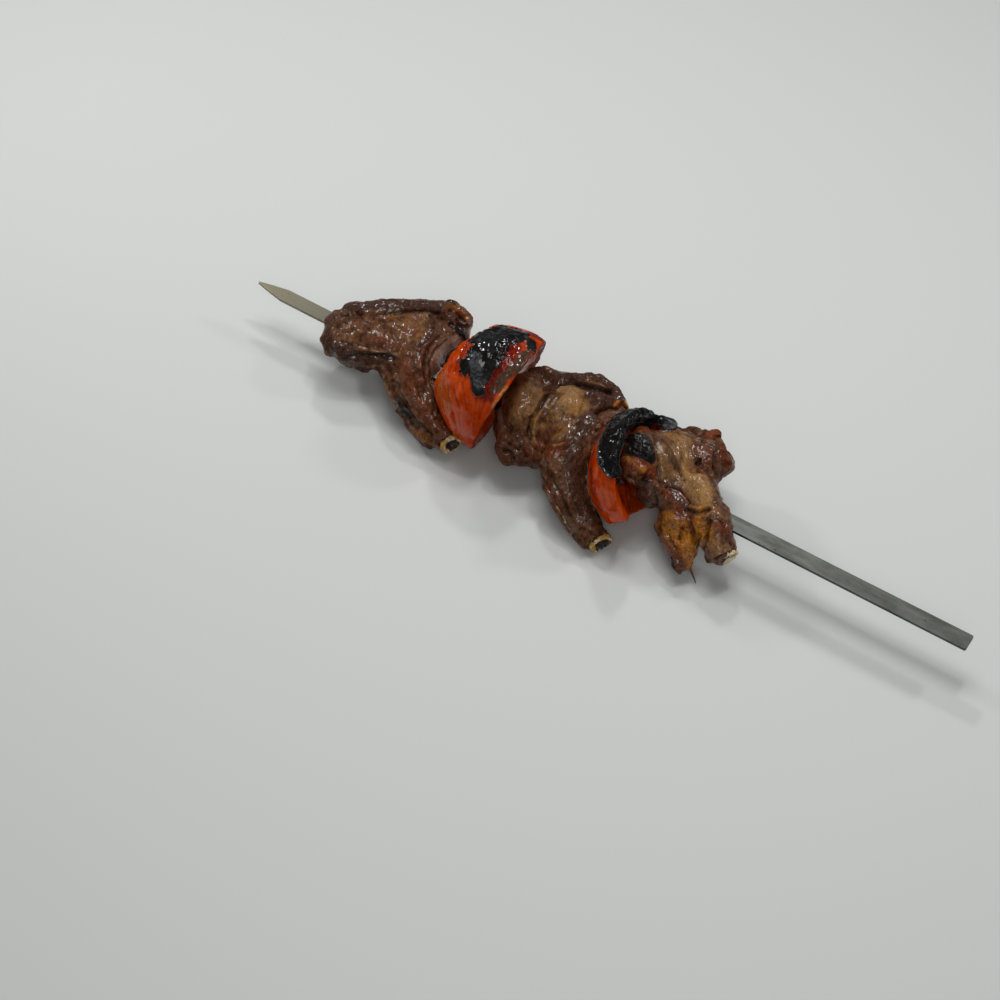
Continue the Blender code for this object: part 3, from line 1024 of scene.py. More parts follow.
@dataclass
class RibBone:
    """A rib bone whose sawn end shows.

    Attributes:
        node: the CAD node.
        end: middle of its sawn end.
        way: direction in which it ends.
        marrow: radius of the marrow.
        marrow_shift: how far the marrow lies off the middle.
        stain: how brown it is, from 0 to 1.
        flare: how much wider its sawn end is.
        slant: how far the sawn end leans back for each millimetre of height.
        voxel: size of its first skin's squares.
        ripples: its uneven relief.
    """

    node: str
    end: Point
    way: Point
    marrow: float
    marrow_shift: Point = (0.0, 0.0, 0.0)
    stain: float = 0.0
    flare: float = 0.7
    slant: float = 0.42
    voxel: float = 0.55
    ripples: tuple[Ripple, ...] = (
        Ripple(size=2.2, depth=0.5, seed=4.0),
        Ripple(size=0.9, depth=0.25, seed=6.0),
    )

    def build(self, material: bpy.types.Material, nodes: dict[str, bpy.types.Object]) -> None:
        """Model the bone, stain it and dress it.

        Args:
            material: its finish.
            nodes: the CAD nodes by name.
        """
        skin = Surface(self.node + "_skin", nodes[self.node], self.voxel, 2)
        way = unit(self.way)
        away = skin.points - np.array(self.end)
        along = away @ way
        sideways = away - np.outer(along, way)
        aside = np.linalg.norm(sideways, axis=1)
        near = rise(along, -7.0, -2.0) * rise(aside, 0.0, 3.0)
        skin.points += sideways / np.maximum(aside, 0.1)[:, None] * (self.flare * near)[:, None]
        high = rise(along, -4.0, -1.0) * np.clip(sideways[:, 2] + 3.0, 0.0, 8.0)
        skin.points -= np.outer(self.slant * high, way)
        skin.settle()
        for ripple in self.ripples:
            skin.ripple(ripple, way)
        rough = waves(skin.points, 1.6, seed=8.0)
        from_marrow = np.linalg.norm(sideways - np.array(self.marrow_shift), axis=1)
        open_end = rise(from_marrow - rough, self.marrow, self.marrow - 0.9) * (along > -4.5)
        sink = 0.8 + 0.9 * waves(skin.points, 1.1, seed=14.0)
        skin.points -= np.outer(open_end * sink, way)
        skin.settle()
        skin.raise_tone(Tone.MARROW, open_end)
        skin.raise_tone(Tone.SEAR, rise(along - 2.5 * rough, -1.0, -3.0))
        brown = 2.2 * waves(skin.points, 4.0, seed=15.0) - 0.2 + self.stain
        skin.raise_tone(Tone.SEAR, 0.9 * ease(brown))
        golden = 0.9 * ease(waves(skin.points, 3.0, seed=12.0) + 0.45)
        skin.raise_tone(Tone.FAT, golden * (1.0 - self.stain) * rise(along, -9.0, -6.0))
        skin.find_creases()
        skin.complete(material, self.node)


@dataclass
class TomatoHalf:
    """Half a grilled tomato, with its skin, burnt patches and sunken cut face.

    Attributes:
        node: the CAD node.
        middle: middle of its cut face.
        way: direction from the cut face to the round side.
        radius: radius of the cut face.
        grain: direction of the skin's fine streaks.
        reliefs: its folds and dents.
        paints: its burnt and coloured patches.
        swell: how far the cut face bulges low down.
        burnt_above: height from which its top is burnt.
        voxel: size of its first skin's squares.
        streak: width, height and stretch of the skin's streaks.
    """

    node: str
    middle: Point
    way: Point
    radius: float
    grain: Point
    reliefs: tuple[Stroke, ...]
    paints: tuple[Stroke, ...]
    swell: float = 0.0
    burnt_above: float = 90.0
    voxel: float = 0.95
    streak: tuple[float, float, float] = (2.0, 0.22, 7.0)

    def build(self, material: bpy.types.Material, nodes: dict[str, bpy.types.Object]) -> None:
        """Model the half, tone it and dress it.

        Args:
            material: its finish.
            nodes: the CAD nodes by name.
        """
        skin = Surface(self.node + "_skin", nodes[self.node], self.voxel, 4)
        way = unit(self.way)
        away = skin.points - np.array(self.middle)
        along = away @ way
        aside = away - np.outer(along, way)
        out = np.linalg.norm(aside, axis=1)
        cut_face = rise(along, 0.4, -0.4) * rise(out, self.radius - 1.2, self.radius - 2.0)
        low = rise(skin.points[:, 2], 44.0, 24.0)
        skin.points -= np.outer(self.swell * low * rise(along, 6.0, 0.0), way)
        skin.settle()
        skin.brush(self.paints)
        height = skin.points[:, 2] + 1.5 * waves(skin.points, 4.0, seed=55.0)
        skin.raise_tone(Tone.CHAR, rise(height, self.burnt_above, self.burnt_above + 2.0))
        skin.raise_tone(Tone.FLESH, cut_face)
        burnt = skin.tone(Tone.CHAR)
        round_side = 1.0 - cut_face
        skin.ripple(Ripple(size=14.0, depth=0.6, seed=51.0), way, round_side)
        skin.grow_fibres(unit(self.grain), *self.streak, round_side)
        skin.press(self.reliefs)
        self._char(skin, rise(burnt, 0.3, 0.55) * round_side)
        self._seed_chambers(skin, aside, cut_face, way)
        skin.find_creases()
        skin.complete(material, self.node)

    @staticmethod
    def _char(skin: Surface, burnt: np.ndarray) -> None:
        """Lift the burnt skin and crumple it.

        Args:
            skin: the half's surface.
            burnt: how burnt each point is.
        """
        slant = unit((0.45, -0.75, -0.5))
        sheets = waves(skin.points, 7.5, 61.0, slant, stretch=2.0, octaves=2)
        folds = np.abs(waves(skin.points, 3.6, 62.0, slant, stretch=3.0))
        flakes = waves(skin.points, 1.4, 63.0, slant, stretch=2.0)
        lift = 0.85 + 0.7 * sheets - 0.7 * folds + 0.14 * flakes
        skin.points += skin.normals * (burnt * lift)[:, None]
        skin.settle()

    @staticmethod
    def _seed_chambers(skin: Surface, aside: np.ndarray, cut_face: np.ndarray,
                       way: np.ndarray, walls: int = 5) -> None:
        """Sink the seed chambers between the walls of the cut face.

        Args:
            skin: the half's surface.
            aside: each point's offset from the axis of the half.
            cut_face: how much each point belongs to the cut face.
            way: direction from the cut face to the round side.
            walls: how many walls part the chambers.
        """
        first = unit(np.cross(way, (0.0, 0.0, 1.0)))
        second = np.cross(way, first)
        out = np.linalg.norm(aside, axis=1)
        angle = np.arctan2(aside @ second, aside @ first)
        wall = np.abs(np.sin(walls / 2 * angle + 0.6 * waves(skin.points, 9.0, seed=71.0)))
        ring = rise(out, 6.0, 9.0) * rise(out, 24.0, 21.0)
        sink = cut_face * ring * rise(wall, 0.25, 0.55)
        skin.points += np.outer(sink * 1.6, way)
        grainy = cut_face * 0.3 * waves(skin.points, 2.4, seed=72.0)
        skin.points += skin.normals * grainy[:, None]
        skin.settle()


@dataclass
class PeeledSkin:
    """A sheet of burnt tomato skin that has lifted off and crumpled.

    Attributes:
        name: the piece's name.
        left: one long edge of the sheet.
        right: the other long edge.
        seed: offset of its crumples.
        shine: how far in from its edges a grey sheen is painted on the burnt skin.
        crumple: height of its crumples.
        arch: how far its middle stands out.
        thick: thickness of the sheet.
        rows: squares along it.
        columns: squares across it.
    """

    name: str
    left: Path
    right: Path
    seed: float
    shine: float
    crumple: float = 0.9
    arch: float = 0.5
    thick: float = 0.5
    rows: int = 56
    columns: int = 20

    def build(self, material: bpy.types.Material) -> None:
        """Model the sheet and dress it.

        Args:
            material: its finish.
        """
        bm = bmesh.new()
        bmesh.ops.create_grid(bm, x_segments=self.columns, y_segments=self.rows, size=0.5)
        share = np.array([(vert.co.x + 0.5, vert.co.y + 0.5) for vert in bm.verts])
        first = along_path(self.left, share[:, 1])
        second = along_path(self.right, share[:, 1])
        places = first + (second - first) * share[:, :1]
        across = (second - first) / np.linalg.norm(second - first, axis=1)[:, None]
        out = np.cross(across, unit(np.array(self.left[-1]) - np.array(self.left[0])))
        out = out * np.where(out[:, 2:] < 0, -1.0, 1.0)
        out = out / np.linalg.norm(out, axis=1)[:, None]
        folds = waves(places, 4.5, self.seed, octaves=2) + 0.4 * waves(places, 1.8, self.seed + 1)
        inwards = 1 - 2 * np.abs(share[:, 0] - 0.5)
        places = places + out * (self.crumple * folds + self.arch * inwards)[:, None]
        places = places + across * (0.8 * waves(places, 3.2, self.seed + 2))[:, None]
        for vert, place in zip(bm.verts, places):
            vert.co = Vector(place) * MM
        piece = new_piece(self.name, bm)
        edge = np.minimum(inwards, 1 - share[:, 1])
        store_tones(piece, {
            Tone.CHAR: np.ones(len(places)),
            # Painted grey sheen near the edges and painted light on the crowns of the crumples.
            Tone.PAINTED_SHEEN: ease((self.shine - edge) / self.shine + 0.3 * folds),
            Tone.CREST_LIGHT: np.clip(folds, 0.0, 1.0),
            Tone.FIBRE: np.full(len(places), EVEN_FIBRE),
        })
        wall = piece.modifiers.new("wall", "SOLIDIFY")
        wall.thickness = self.thick * MM
        wall.offset = 0.0
        halve(piece)
        piece.data.shade_smooth()
        dress(piece, material)


@dataclass
class CrispSpike:
    """A thin spike of crisp fat that hangs from a chop's tip.

    Attributes:
        name: the piece's name.
        path: its middle line, from its root to its tip.
        radii: radius at its root and at its tip.
        sides: sides round it.
        rings: cuts along it.
    """

    name: str
    path: Path
    radii: tuple[float, float] = (1.3, 0.25)
    sides: int = 12
    rings: int = 14

    def build(self, material: bpy.types.Material) -> None:
        """Model the spike and dress it.

        Args:
            material: its finish.
        """
        bm = bmesh.new()
        bmesh.ops.create_cone(bm, cap_ends=True, segments=self.sides, radius1=1.0, radius2=1.0,
                              depth=1.0)
        uprights = [edge for edge in bm.edges
                    if abs(edge.verts[0].co.z - edge.verts[1].co.z) > 0.5]
        bmesh.ops.subdivide_edges(bm, edges=uprights, cuts=self.rings, use_grid_fill=True)
        share = np.array([vert.co.z + 0.5 for vert in bm.verts])
        middle = along_path(self.path, share)
        root, tip = self.radii
        for vert, place, radius in zip(bm.verts, middle, root + (tip - root) * share):
            bend = noise.noise(Vector((place[0], place[1], vert.co.x)) * 0.6)
            side = Vector((vert.co.x, 0.0, vert.co.y)) * float(radius) * (1.0 + 0.5 * bend)
            vert.co = (Vector(place) + side) * MM
        bmesh.ops.recalc_face_normals(bm, faces=bm.faces)
        piece = new_piece(self.name, bm)
        store_tones(piece, {
            Tone.GLAZE: 0.6 + 0.3 * share,
            Tone.FAT: 1.0 - share,
            Tone.CHAR: rise(share, 0.75, 1.0),
            Tone.FIBRE: np.full(len(share), EVEN_FIBRE),
        })
        halve(piece)
        piece.data.shade_smooth()
        dress(piece, material)


@dataclass
class Skewer:
    """The flat steel bar, which narrows a little towards its long ground point.

    Attributes:
        node: the CAD node that it stands for.
        broad: width at the bare end.
        slim: width where the point begins.
        thick: thickness.
        point: length of the point.
        tip: width left at its tip, as a share.
        corner: radius of the corners at the bare end.
        edge: width of the worn edges.
    """

    node: str = "skewer"
    broad: float = 8.7
    slim: float = 7.7
    thick: float = 1.7
    point: float = 17.0
    tip: float = 0.05
    corner: float = 0.9
    edge: float = 0.22

    def build(self, material: bpy.types.Material) -> None:
        """Model the bar and dress it.

        Args:
            material: its finish.
        """
        low, high = (Vector(corner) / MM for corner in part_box(self.node))
        middle = (low + high) / 2
        length = high.x - low.x
        bm = bmesh.new()
        bmesh.ops.create_cube(bm, size=1.0)
        bmesh.ops.scale(bm, vec=(length, self.broad, self.thick), verts=bm.verts)
        for share in (1.0, 0.7, 0.35):
            bmesh.ops.bisect_plane(bm, geom=bm.verts[:] + bm.edges[:] + bm.faces[:],
                                   plane_co=(self.point * share - length / 2, 0.0, 0.0),
                                   plane_no=(1.0, 0.0, 0.0))
        for vert in bm.verts:
            along = vert.co.x + length / 2
            width = self.slim + (self.broad - self.slim) * along / length
            taper = min(1.0, along / self.point) ** 0.85
            vert.co.y *= width / self.broad * (self.tip + (1 - self.tip) * taper)
        uprights = [edge for edge in bm.edges
                    if all(abs(vert.co.x - length / 2) < 0.01 for vert in edge.verts)
                    and abs(edge.verts[0].co.z - edge.verts[1].co.z) > 0.5]
        bmesh.ops.bevel(bm, geom=uprights, offset=self.corner, segments=4, profile=0.5,
                        affect="EDGES", material=-1)
        worn = [edge for edge in bm.edges if len(edge.link_faces) == 2
                and edge.calc_face_angle() > 0.9]
        bmesh.ops.bevel(bm, geom=worn, offset=self.edge, segments=2, profile=0.5,
                        affect="EDGES", material=-1)
        bmesh.ops.translate(bm, vec=middle, verts=bm.verts)
        bmesh.ops.scale(bm, vec=(MM, MM, MM), verts=bm.verts)
        dress(new_piece("skewer_bar", bm), material, self.node)


@dataclass
class Studio:
    """Plain pale floor, soft light and the camera.

    Attributes:
        camera_place: where the camera stands.
        azimuth: its turn from Y, in degrees.
        elevation: how far it looks down, in degrees.
        lens: its focal length.
        sensor: width of its sensor.
        floor_shade: colour of the floor.
        floor_size: side of the floor.
        sky_shade: colour of the even light.
        sky_power: strength of the even light.
        aim: where the lamps point.
        lamps: name, place, side and power of each square lamp.
    """

    camera_place: Point = (294.508, -515.899, 743.309)
    azimuth: float = -33.82555757
    elevation: float = 52.0
    lens: float = 70.0
    sensor: float = 36.0
    floor_shade: str = "#C8CAC7"
    floor_size: float = 6000.0
    sky_shade: str = "#F2F4F5"
    sky_power: float = 0.24
    aim: Point = (-20.0, 0.0, 20.0)
    lamps: tuple[tuple[str, Point, float, float], ...] = (
        ("key", (-120.0, 120.0, 980.0), 420.0, 2.8),
        ("fill", (380.0, -560.0, 760.0), 320.0, 1.4),
        ("glint left", (-620.0, 60.0, 420.0), 84.0, 1.0),
        ("glint back", (-320.0, 500.0, 760.0), 84.0, 1.5),
        ("glint top", (60.0, 260.0, 900.0), 84.0, 1.1),
        ("glint right", (420.0, 420.0, 560.0), 84.0, 0.8),
    )

    def build(self) -> None:
        """Add floor, world, lamps and camera."""
        self._floor()
        self._world()
        for name, place, side, power in self.lamps:
            self._lamp(name, place, side, power)
        self._camera()

    def _floor(self) -> None:
        """Lay a wide pale floor."""
        bm = bmesh.new()
        bmesh.ops.create_grid(bm, x_segments=1, y_segments=1, size=self.floor_size / 2 * MM)
        floor = new_piece("floor", bm)
        material, shader = new_material("pale floor")
        plug(material.node_tree, shader,
             {"Base Color": linear(self.floor_shade), "Roughness": 0.7})
        floor.data.materials.append(material)

    def _world(self) -> None:
        """Let pale light come evenly from all round."""
        world = bpy.data.worlds.new("studio")
        world.use_nodes = True
        plug(world.node_tree, world.node_tree.nodes["Background"],
             {"Color": linear(self.sky_shade), "Strength": self.sky_power})
        bpy.context.scene.world = world

    def _lamp(self, name: str, place: Point, side: float, power: float) -> None:
        """Hang a square soft lamp that points at the food.

        Args:
            name: its name.
            place: where it hangs.
            side: its side.
            power: its power in watts.
        """
        lamp = bpy.data.lights.new(name, "AREA")
        lamp.size = side * MM
        lamp.energy = power
        holder = bpy.data.objects.new(name, lamp)
        bpy.context.scene.collection.objects.link(holder)
        holder.location = Vector(place) * MM
        beam = Vector(self.aim) * MM - holder.location
        holder.rotation_euler = beam.to_track_quat("-Z", "Y").to_euler()

    def _camera(self) -> None:
        """Set up the camera, which looks down on the food from beyond its rib ends."""
        lens = bpy.data.cameras.new("camera")
        lens.lens = self.lens
        lens.sensor_width = self.sensor
        holder = bpy.data.objects.new("camera", lens)
        bpy.context.scene.collection.objects.link(holder)
        turn, dip = math.radians(self.azimuth), math.radians(self.elevation)
        look = Vector((math.sin(turn) * math.cos(dip), math.cos(turn) * math.cos(dip),
                       -math.sin(dip)))
        holder.location = Vector(self.camera_place) * MM
        holder.rotation_euler = look.to_track_quat("-Z", "Y").to_euler()
        bpy.context.scene.camera = holder


CHOP_1 = Chop(
    node="chop_1_meat",
    grain=(0.3, -0.9, -0.3),
    rib_end=(-62.0, -24.7, 9.0),
    rib_way=(8.0, -3.0, -1.5),
    blobs=(
        Blob(((-92.2, -0.3, 31.2), (-90.2, 0.8, 24.2), (-88.8, -1.4, 19.8)), (3, 3.2, 2.8)),
        Blob(((-102.3, 30.6, 37.5),), (2.3,)),
        Blob(((-98, 31.3, 36.4),), (2,)),
        Blob(((-94.2, 33.3, 31.7), (-92.2, 32.6, 29)), (2.4, 2)),
        Blob(((-91.1, 25.5, 28.1), (-89.2, 26.5, 24.7)), (2, 1.4)),
        Blob(((-101.9, 26.8, 36.8), (-99.3, 24.5, 33.3)), (2.2, 2.2)),
        Blob(((-152.1, 2.2, 26.3), (-151.7, -4.2, 26.9)), (3, 3.2)),
        Blob(((-146.1, -14.6, 27.1), (-141.8, -17.5, 23.1)), (3.2, 3.2)),
        Blob(((-134.4, -18.2, 23),), (3,)),
        Blob(((-126.9, -16.4, 21.9), (-124.9, -10.8, 14.1)), (2.6, 2.4)),
        Blob(((-97.1, -21.5, 20.2), (-89.6, -24.7, 16.1)), (2.2, 2)),
        Blob(((-81.2, -28.5, 10.4), (-74.2, -27.3, 4.3)), (2.6, 2)),
    ),
    reliefs=strokes(
        (Form.BULGE, 3.6, 1.3, (-147.6, 7.9, 30.5), (-137.1, 12.1, 34.2), (-128.3, 18.4, 35.1),
            (-120.7, 26.2, 33.4), (-109, 28.4, 36.4)),
        (Form.CREASE, 2, -2.03, (-145.5, -0.8, 31.4), (-139.7, 3.6, 33), (-130.7, 6.5, 35.4),
            (-125.7, 11.8, 34.9), (-118.9, 17.6, 35.2), (-111.4, 22.5, 35.8),
            (-104.7, 23.8, 35.6)),
        (Form.BULGE, 4.5, 0.7, (-148.2, -6.3, 30.3), (-145.7, -2.1, 31.2), (-137.2, -4.2, 34.9)),
        (Form.BULGE, 4, 0.6, (-142.4, -15.5, 30.2), (-140.6, -13.3, 31.9)),
        (Form.BULGE, 5, 0.5, (-132.2, -9.5, 34.8), (-127, -5.9, 36)),
        (Form.BULGE, 4.5, 0.5, (-120.1, -4.9, 35.3), (-115.6, -2.3, 34.4)),
        (Form.BULGE, 6, 0.8, (-115.9, 8.8, 34.7), (-111.8, 15.2, 32.8), (-103.5, 9.8, 36)),
        (Form.CREASE, 1.4, -0.68, (-136.6, 2.4, 34.5), (-129.7, -2.3, 36.3), (-124.6, -4.7, 36.3)),
        (Form.CREASE, 1.4, -0.61, (-120.6, 7.8, 35.3), (-117.1, 1.4, 35.3), (-112.6, -0.5, 33.3)),
        (Form.CREASE, 1.3, -0.68, (-135.7, -15.4, 31.5), (-129.4, -13.4, 32.2),
            (-122.2, -11.4, 32.1)),
        (Form.CREASE, 1.6, -1.08, (-106.4, 21.6, 34.8), (-101.1, 15.6, 36.1), (-98, 8.2, 36.9),
            (-99.5, 1, 36)),
        (Form.RIDGE, 0.8, 0.6, (-120, -11.5, 31), (-116.2, -9.3, 30.7), (-112.6, -6.8, 30.3),
            (-108.7, -4.7, 29)),
        (Form.CREASE, 2.2, -1.76, (-128.7, -17.9, 28.2), (-124.1, -15.2, 28.5),
            (-118.5, -12.2, 29.4), (-111.9, -7.8, 28.8), (-106.7, -7.4, 30.1)),
        (Form.BULGE, 4, 0.7, (-134.9, -18.4, 28.2), (-130.8, -17.9, 28.9)),
        (Form.RIDGE, 1.2, 1, (-96.9, 11.9, 36.8), (-97.2, 2.6, 36.5), (-95.3, -4.7, 34.6),
            (-91.3, -9.9, 31.5), (-86.6, -12.8, 26.7), (-80.7, -16.2, 23)),
        (Form.CREASE, 1, -1.22, (-95.3, 12.2, 35.9), (-95.3, 2.7, 36), (-93.6, -4.4, 34.1),
            (-89.9, -9.2, 30.5), (-85.2, -12.1, 25.6)),
        (Form.RIDGE, 1, 0.9, (-93.6, 12.9, 34.7), (-93.6, 3, 35.1), (-92, -3.9, 33.3),
            (-88.7, -8.2, 28.9), (-84.4, -10.7, 23.4)),
        (Form.CREASE, 1, -1.08, (-92.4, 13.8, 32.8), (-92.2, 3.2, 34.3), (-90.8, -3.3, 32.5),
            (-88.2, -6.6, 26.7)),
        (Form.CREASE, 1.6, -0.94, (-97.7, -1.5, 35.5), (-96.4, -8.6, 33.6),
            (-91.8, -14.7, 30.4), (-85, -18.5, 25.2)),
        (Form.BULGE, 4, 0.7, (-101.7, -11.1, 32.7), (-95.7, -16.7, 29.9), (-88.3, -19.9, 25.7),
            (-76.5, -23.2, 20.5), (-67.1, -24.7, 16)),
        (Form.CREASE, 1.5, -0.94, (-107.1, -10.1, 27.2), (-101.5, -18, 26.1),
            (-93.1, -22.4, 23.7), (-87.1, -25, 19.4)),
        (Form.CREASE, 1.5, -1.49, (-92.1, -23.9, 20.3), (-82.6, -26.9, 17.5),
            (-73.3, -28.1, 14.9), (-67.9, -24.1, 6)),
        (Form.CREASE, 0.9, -0.68, (-86.5, -17.8, 26.1), (-77.3, -20.5, 21.3), (-68, -23.4, 16.8)),
        (Form.CREASE, 0.9, -0.68, (-91, -19.1, 27.2), (-81.7, -21.9, 22.5),
            (-72.8, -24.1, 18.4), (-69.1, -20, 6.6)),
        (Form.BULGE, 3.5, 0.6, (-108.7, -15.8, 20.8), (-99.9, -22.1, 20.4)),
        (Form.BULGE, 3, 0.5, (-82.2, -29.3, 11.9), (-74.4, -29.8, 10.7)),
        (Form.RIDGE, 1.2, 1.3, (-103, 31.1, 38.4), (-98.5, 32.1, 37.6), (-96.5, 35.4, 32.9),
            (-92, 33.9, 31.4)),
        (Form.CREASE, 1.5, -1.62, (-99.9, 27.9, 37.9), (-96.1, 29.5, 35.7), (-93.4, 30.2, 32)),
        (Form.PIT, 2.2, -2.2, (-92.4, 26.6, 31.1)),
        (Form.RIDGE, 1.1, 1, (-98.3, 25.5, 35.5), (-95.3, 25.8, 33.1), (-93.3, 22, 31.2)),
        (Form.PIT, 2.2, -1.2, (-94.9, 26.9, 33.1), (-91.5, 26.5, 30.3)),
        (Form.BULGE, 2.6, 1.6, (-102.3, 30.6, 38.4)),
        (Form.BULGE, 2.4, 1.8, (-92.3, 30.9, 31.1)),
        (Form.BULGE, 2.4, 1.2, (-96.1, 32.6, 35.1)),
        (Form.BULGE, 3, 0.9, (-94.7, 20.3, 33.2)),
        (Form.CREASE, 1.5, -1.22, (-103.8, 22.4, 34.4), (-98.7, 22.9, 33.7), (-92.8, 20.6, 31.5)),
    ),
    paints=strokes(
        (Tone.SEAR, 4.5, 0.95, (-147.5, 6.4, 31.1), (-136.7, 11.6, 34.3), (-127.6, 17.4, 35.1),
            (-118.9, 23.7, 35.6), (-106.7, 28.3, 37.1)),
        (Tone.SEAR, 5, 0.75, (-151, -3.9, 28), (-148, -12, 28.9), (-142, -17.8, 27.2),
            (-134.5, -19.4, 24.1)),
        (Tone.SEAR, 5.5, 1, (-135, -18.2, 28.6), (-129.7, -18, 28.4)),
        # Sear and painted shade: this stroke also darkens the fold below the pale line.
        (Tone.SEAR, 3.5, 0.8, (-126.6, -17.9, 26.3), (-119.2, -12.8, 28.5), (-111.8, -8, 28.6)),
        (Tone.SEAR, 4, 0.8, (-124, -15.9, 20.7), (-121.9, -10.7, 15.9), (-114, -12.8, 16.1)),
        (Tone.PALE, 5.5, 0.3, (-114.4, 6.7, 34.8), (-113.7, 16.4, 33.2), (-108.9, 17.2, 32.7),
            (-105.6, 8.1, 35), (-110.6, 2.8, 32.8)),
        (Tone.GLAZE, 2.5, 0.8, (-111.9, 6.3, 34.1), (-106.8, 8.2, 34.2)),
        (Tone.PALE, 0.8, 1, (-120, -11.5, 31), (-116.2, -9.3, 30.7), (-112.6, -6.8, 30.3),
            (-109.1, -4.9, 29)),
        (Tone.PALE, 2.5, 0.3, (-119.8, 14.2, 34), (-110.8, 21.6, 35.5)),
        (Tone.FAT, 1.8, 0.55, (-124.4, 9.3, 35.1), (-122.6, 12, 34.6)),
        (Tone.FAT, 2.6, 0.25, (-109.4, 5.7, 32.9), (-101.8, 4.4, 36.8)),
        (Tone.GLAZE, 5, 0.5, (-118.2, -6.3, 33.9), (-113.5, -2.3, 33.1), (-109, -1.1, 30.8)),
        (Tone.GLAZE, 5, 0.45, (-99.4, -11.4, 33.1), (-94.2, -15.9, 30), (-84.9, -20.3, 24.3),
            (-75.4, -23.4, 20.1), (-66.5, -24.1, 15.8)),
        (Tone.GLAZE, 3, 0.4, (-96.8, 11.1, 36.9), (-96.9, 2.3, 36.3), (-94.6, -5.3, 34.4),
            (-90.6, -10.3, 31), (-85.7, -12.9, 26)),
        (Tone.SMOOTH, 5, 1, (-90.7, 19, 27.6), (-91.1, 10.4, 30.6), (-89.7, 1.4, 31.2),
            (-89.1, -1.7, 26.6)),
        (Tone.SEAR, 2.6, 0.95, (-97.5, -22.4, 20.9), (-90.4, -25, 17.8), (-82, -27.9, 15.4)),
        (Tone.CHAR, 1.3, 0.75, (-94.5, -23.6, 19.8), (-90.4, -25, 17.8), (-86, -26.6, 16.9)),
        (Tone.FAT, 3.2, 0.45, (-82.8, -29.1, 12.6), (-75.1, -29.5, 11.3), (-68.2, -28.1, 7),
            (-67.5, -24, 3.6)),
        (Tone.FAT, 2.5, 0.45, (-106.4, -19.1, 20), (-99.6, -22.5, 19.6)),
        (Tone.FAT, 2.2, 0.45, (-101.2, 29.1, 38.4), (-97.5, 30.7, 37.3), (-93.8, 33.1, 32.8),
            (-91.5, 32.1, 29.9)),
        (Tone.SEAR, 4, 0.7, (-100.1, 25, 36.2), (-95.1, 27.1, 33.4), (-92.2, 27.5, 30.9)),
        (Tone.GLAZE, 4, 0.6, (-101.3, 25.2, 36.6), (-96.5, 26, 34.3), (-95.6, 29.5, 34.9)),
        (Tone.PEBBLE, 4, 0.6, (-102, 28.6, 38.4), (-96.5, 29.2, 35.9), (-92.2, 30.7, 30.7),
            (-89.7, 25.4, 27.8)),
        (Tone.CHAR, 2.6, 0.75, (-96.5, 22.9, 32.2), (-92.2, 24.3, 30.5), (-89.4, 24.9, 27)),
        (Tone.CHAR, 1.5, 0.6, (-103.9, 30.5, 38.2), (-99.6, 32.1, 38)),
        (Tone.SEAR, 4, 0.6, (-104.5, 17.3, 35.2), (-97.2, 11.6, 36.9), (-98.2, 3.8, 36.9)),
        (Tone.FAT, 1.6, 0.9, (-68.4, -21.8, 6.1), (-64.5, -18.1, 8.4)),
    ),
)

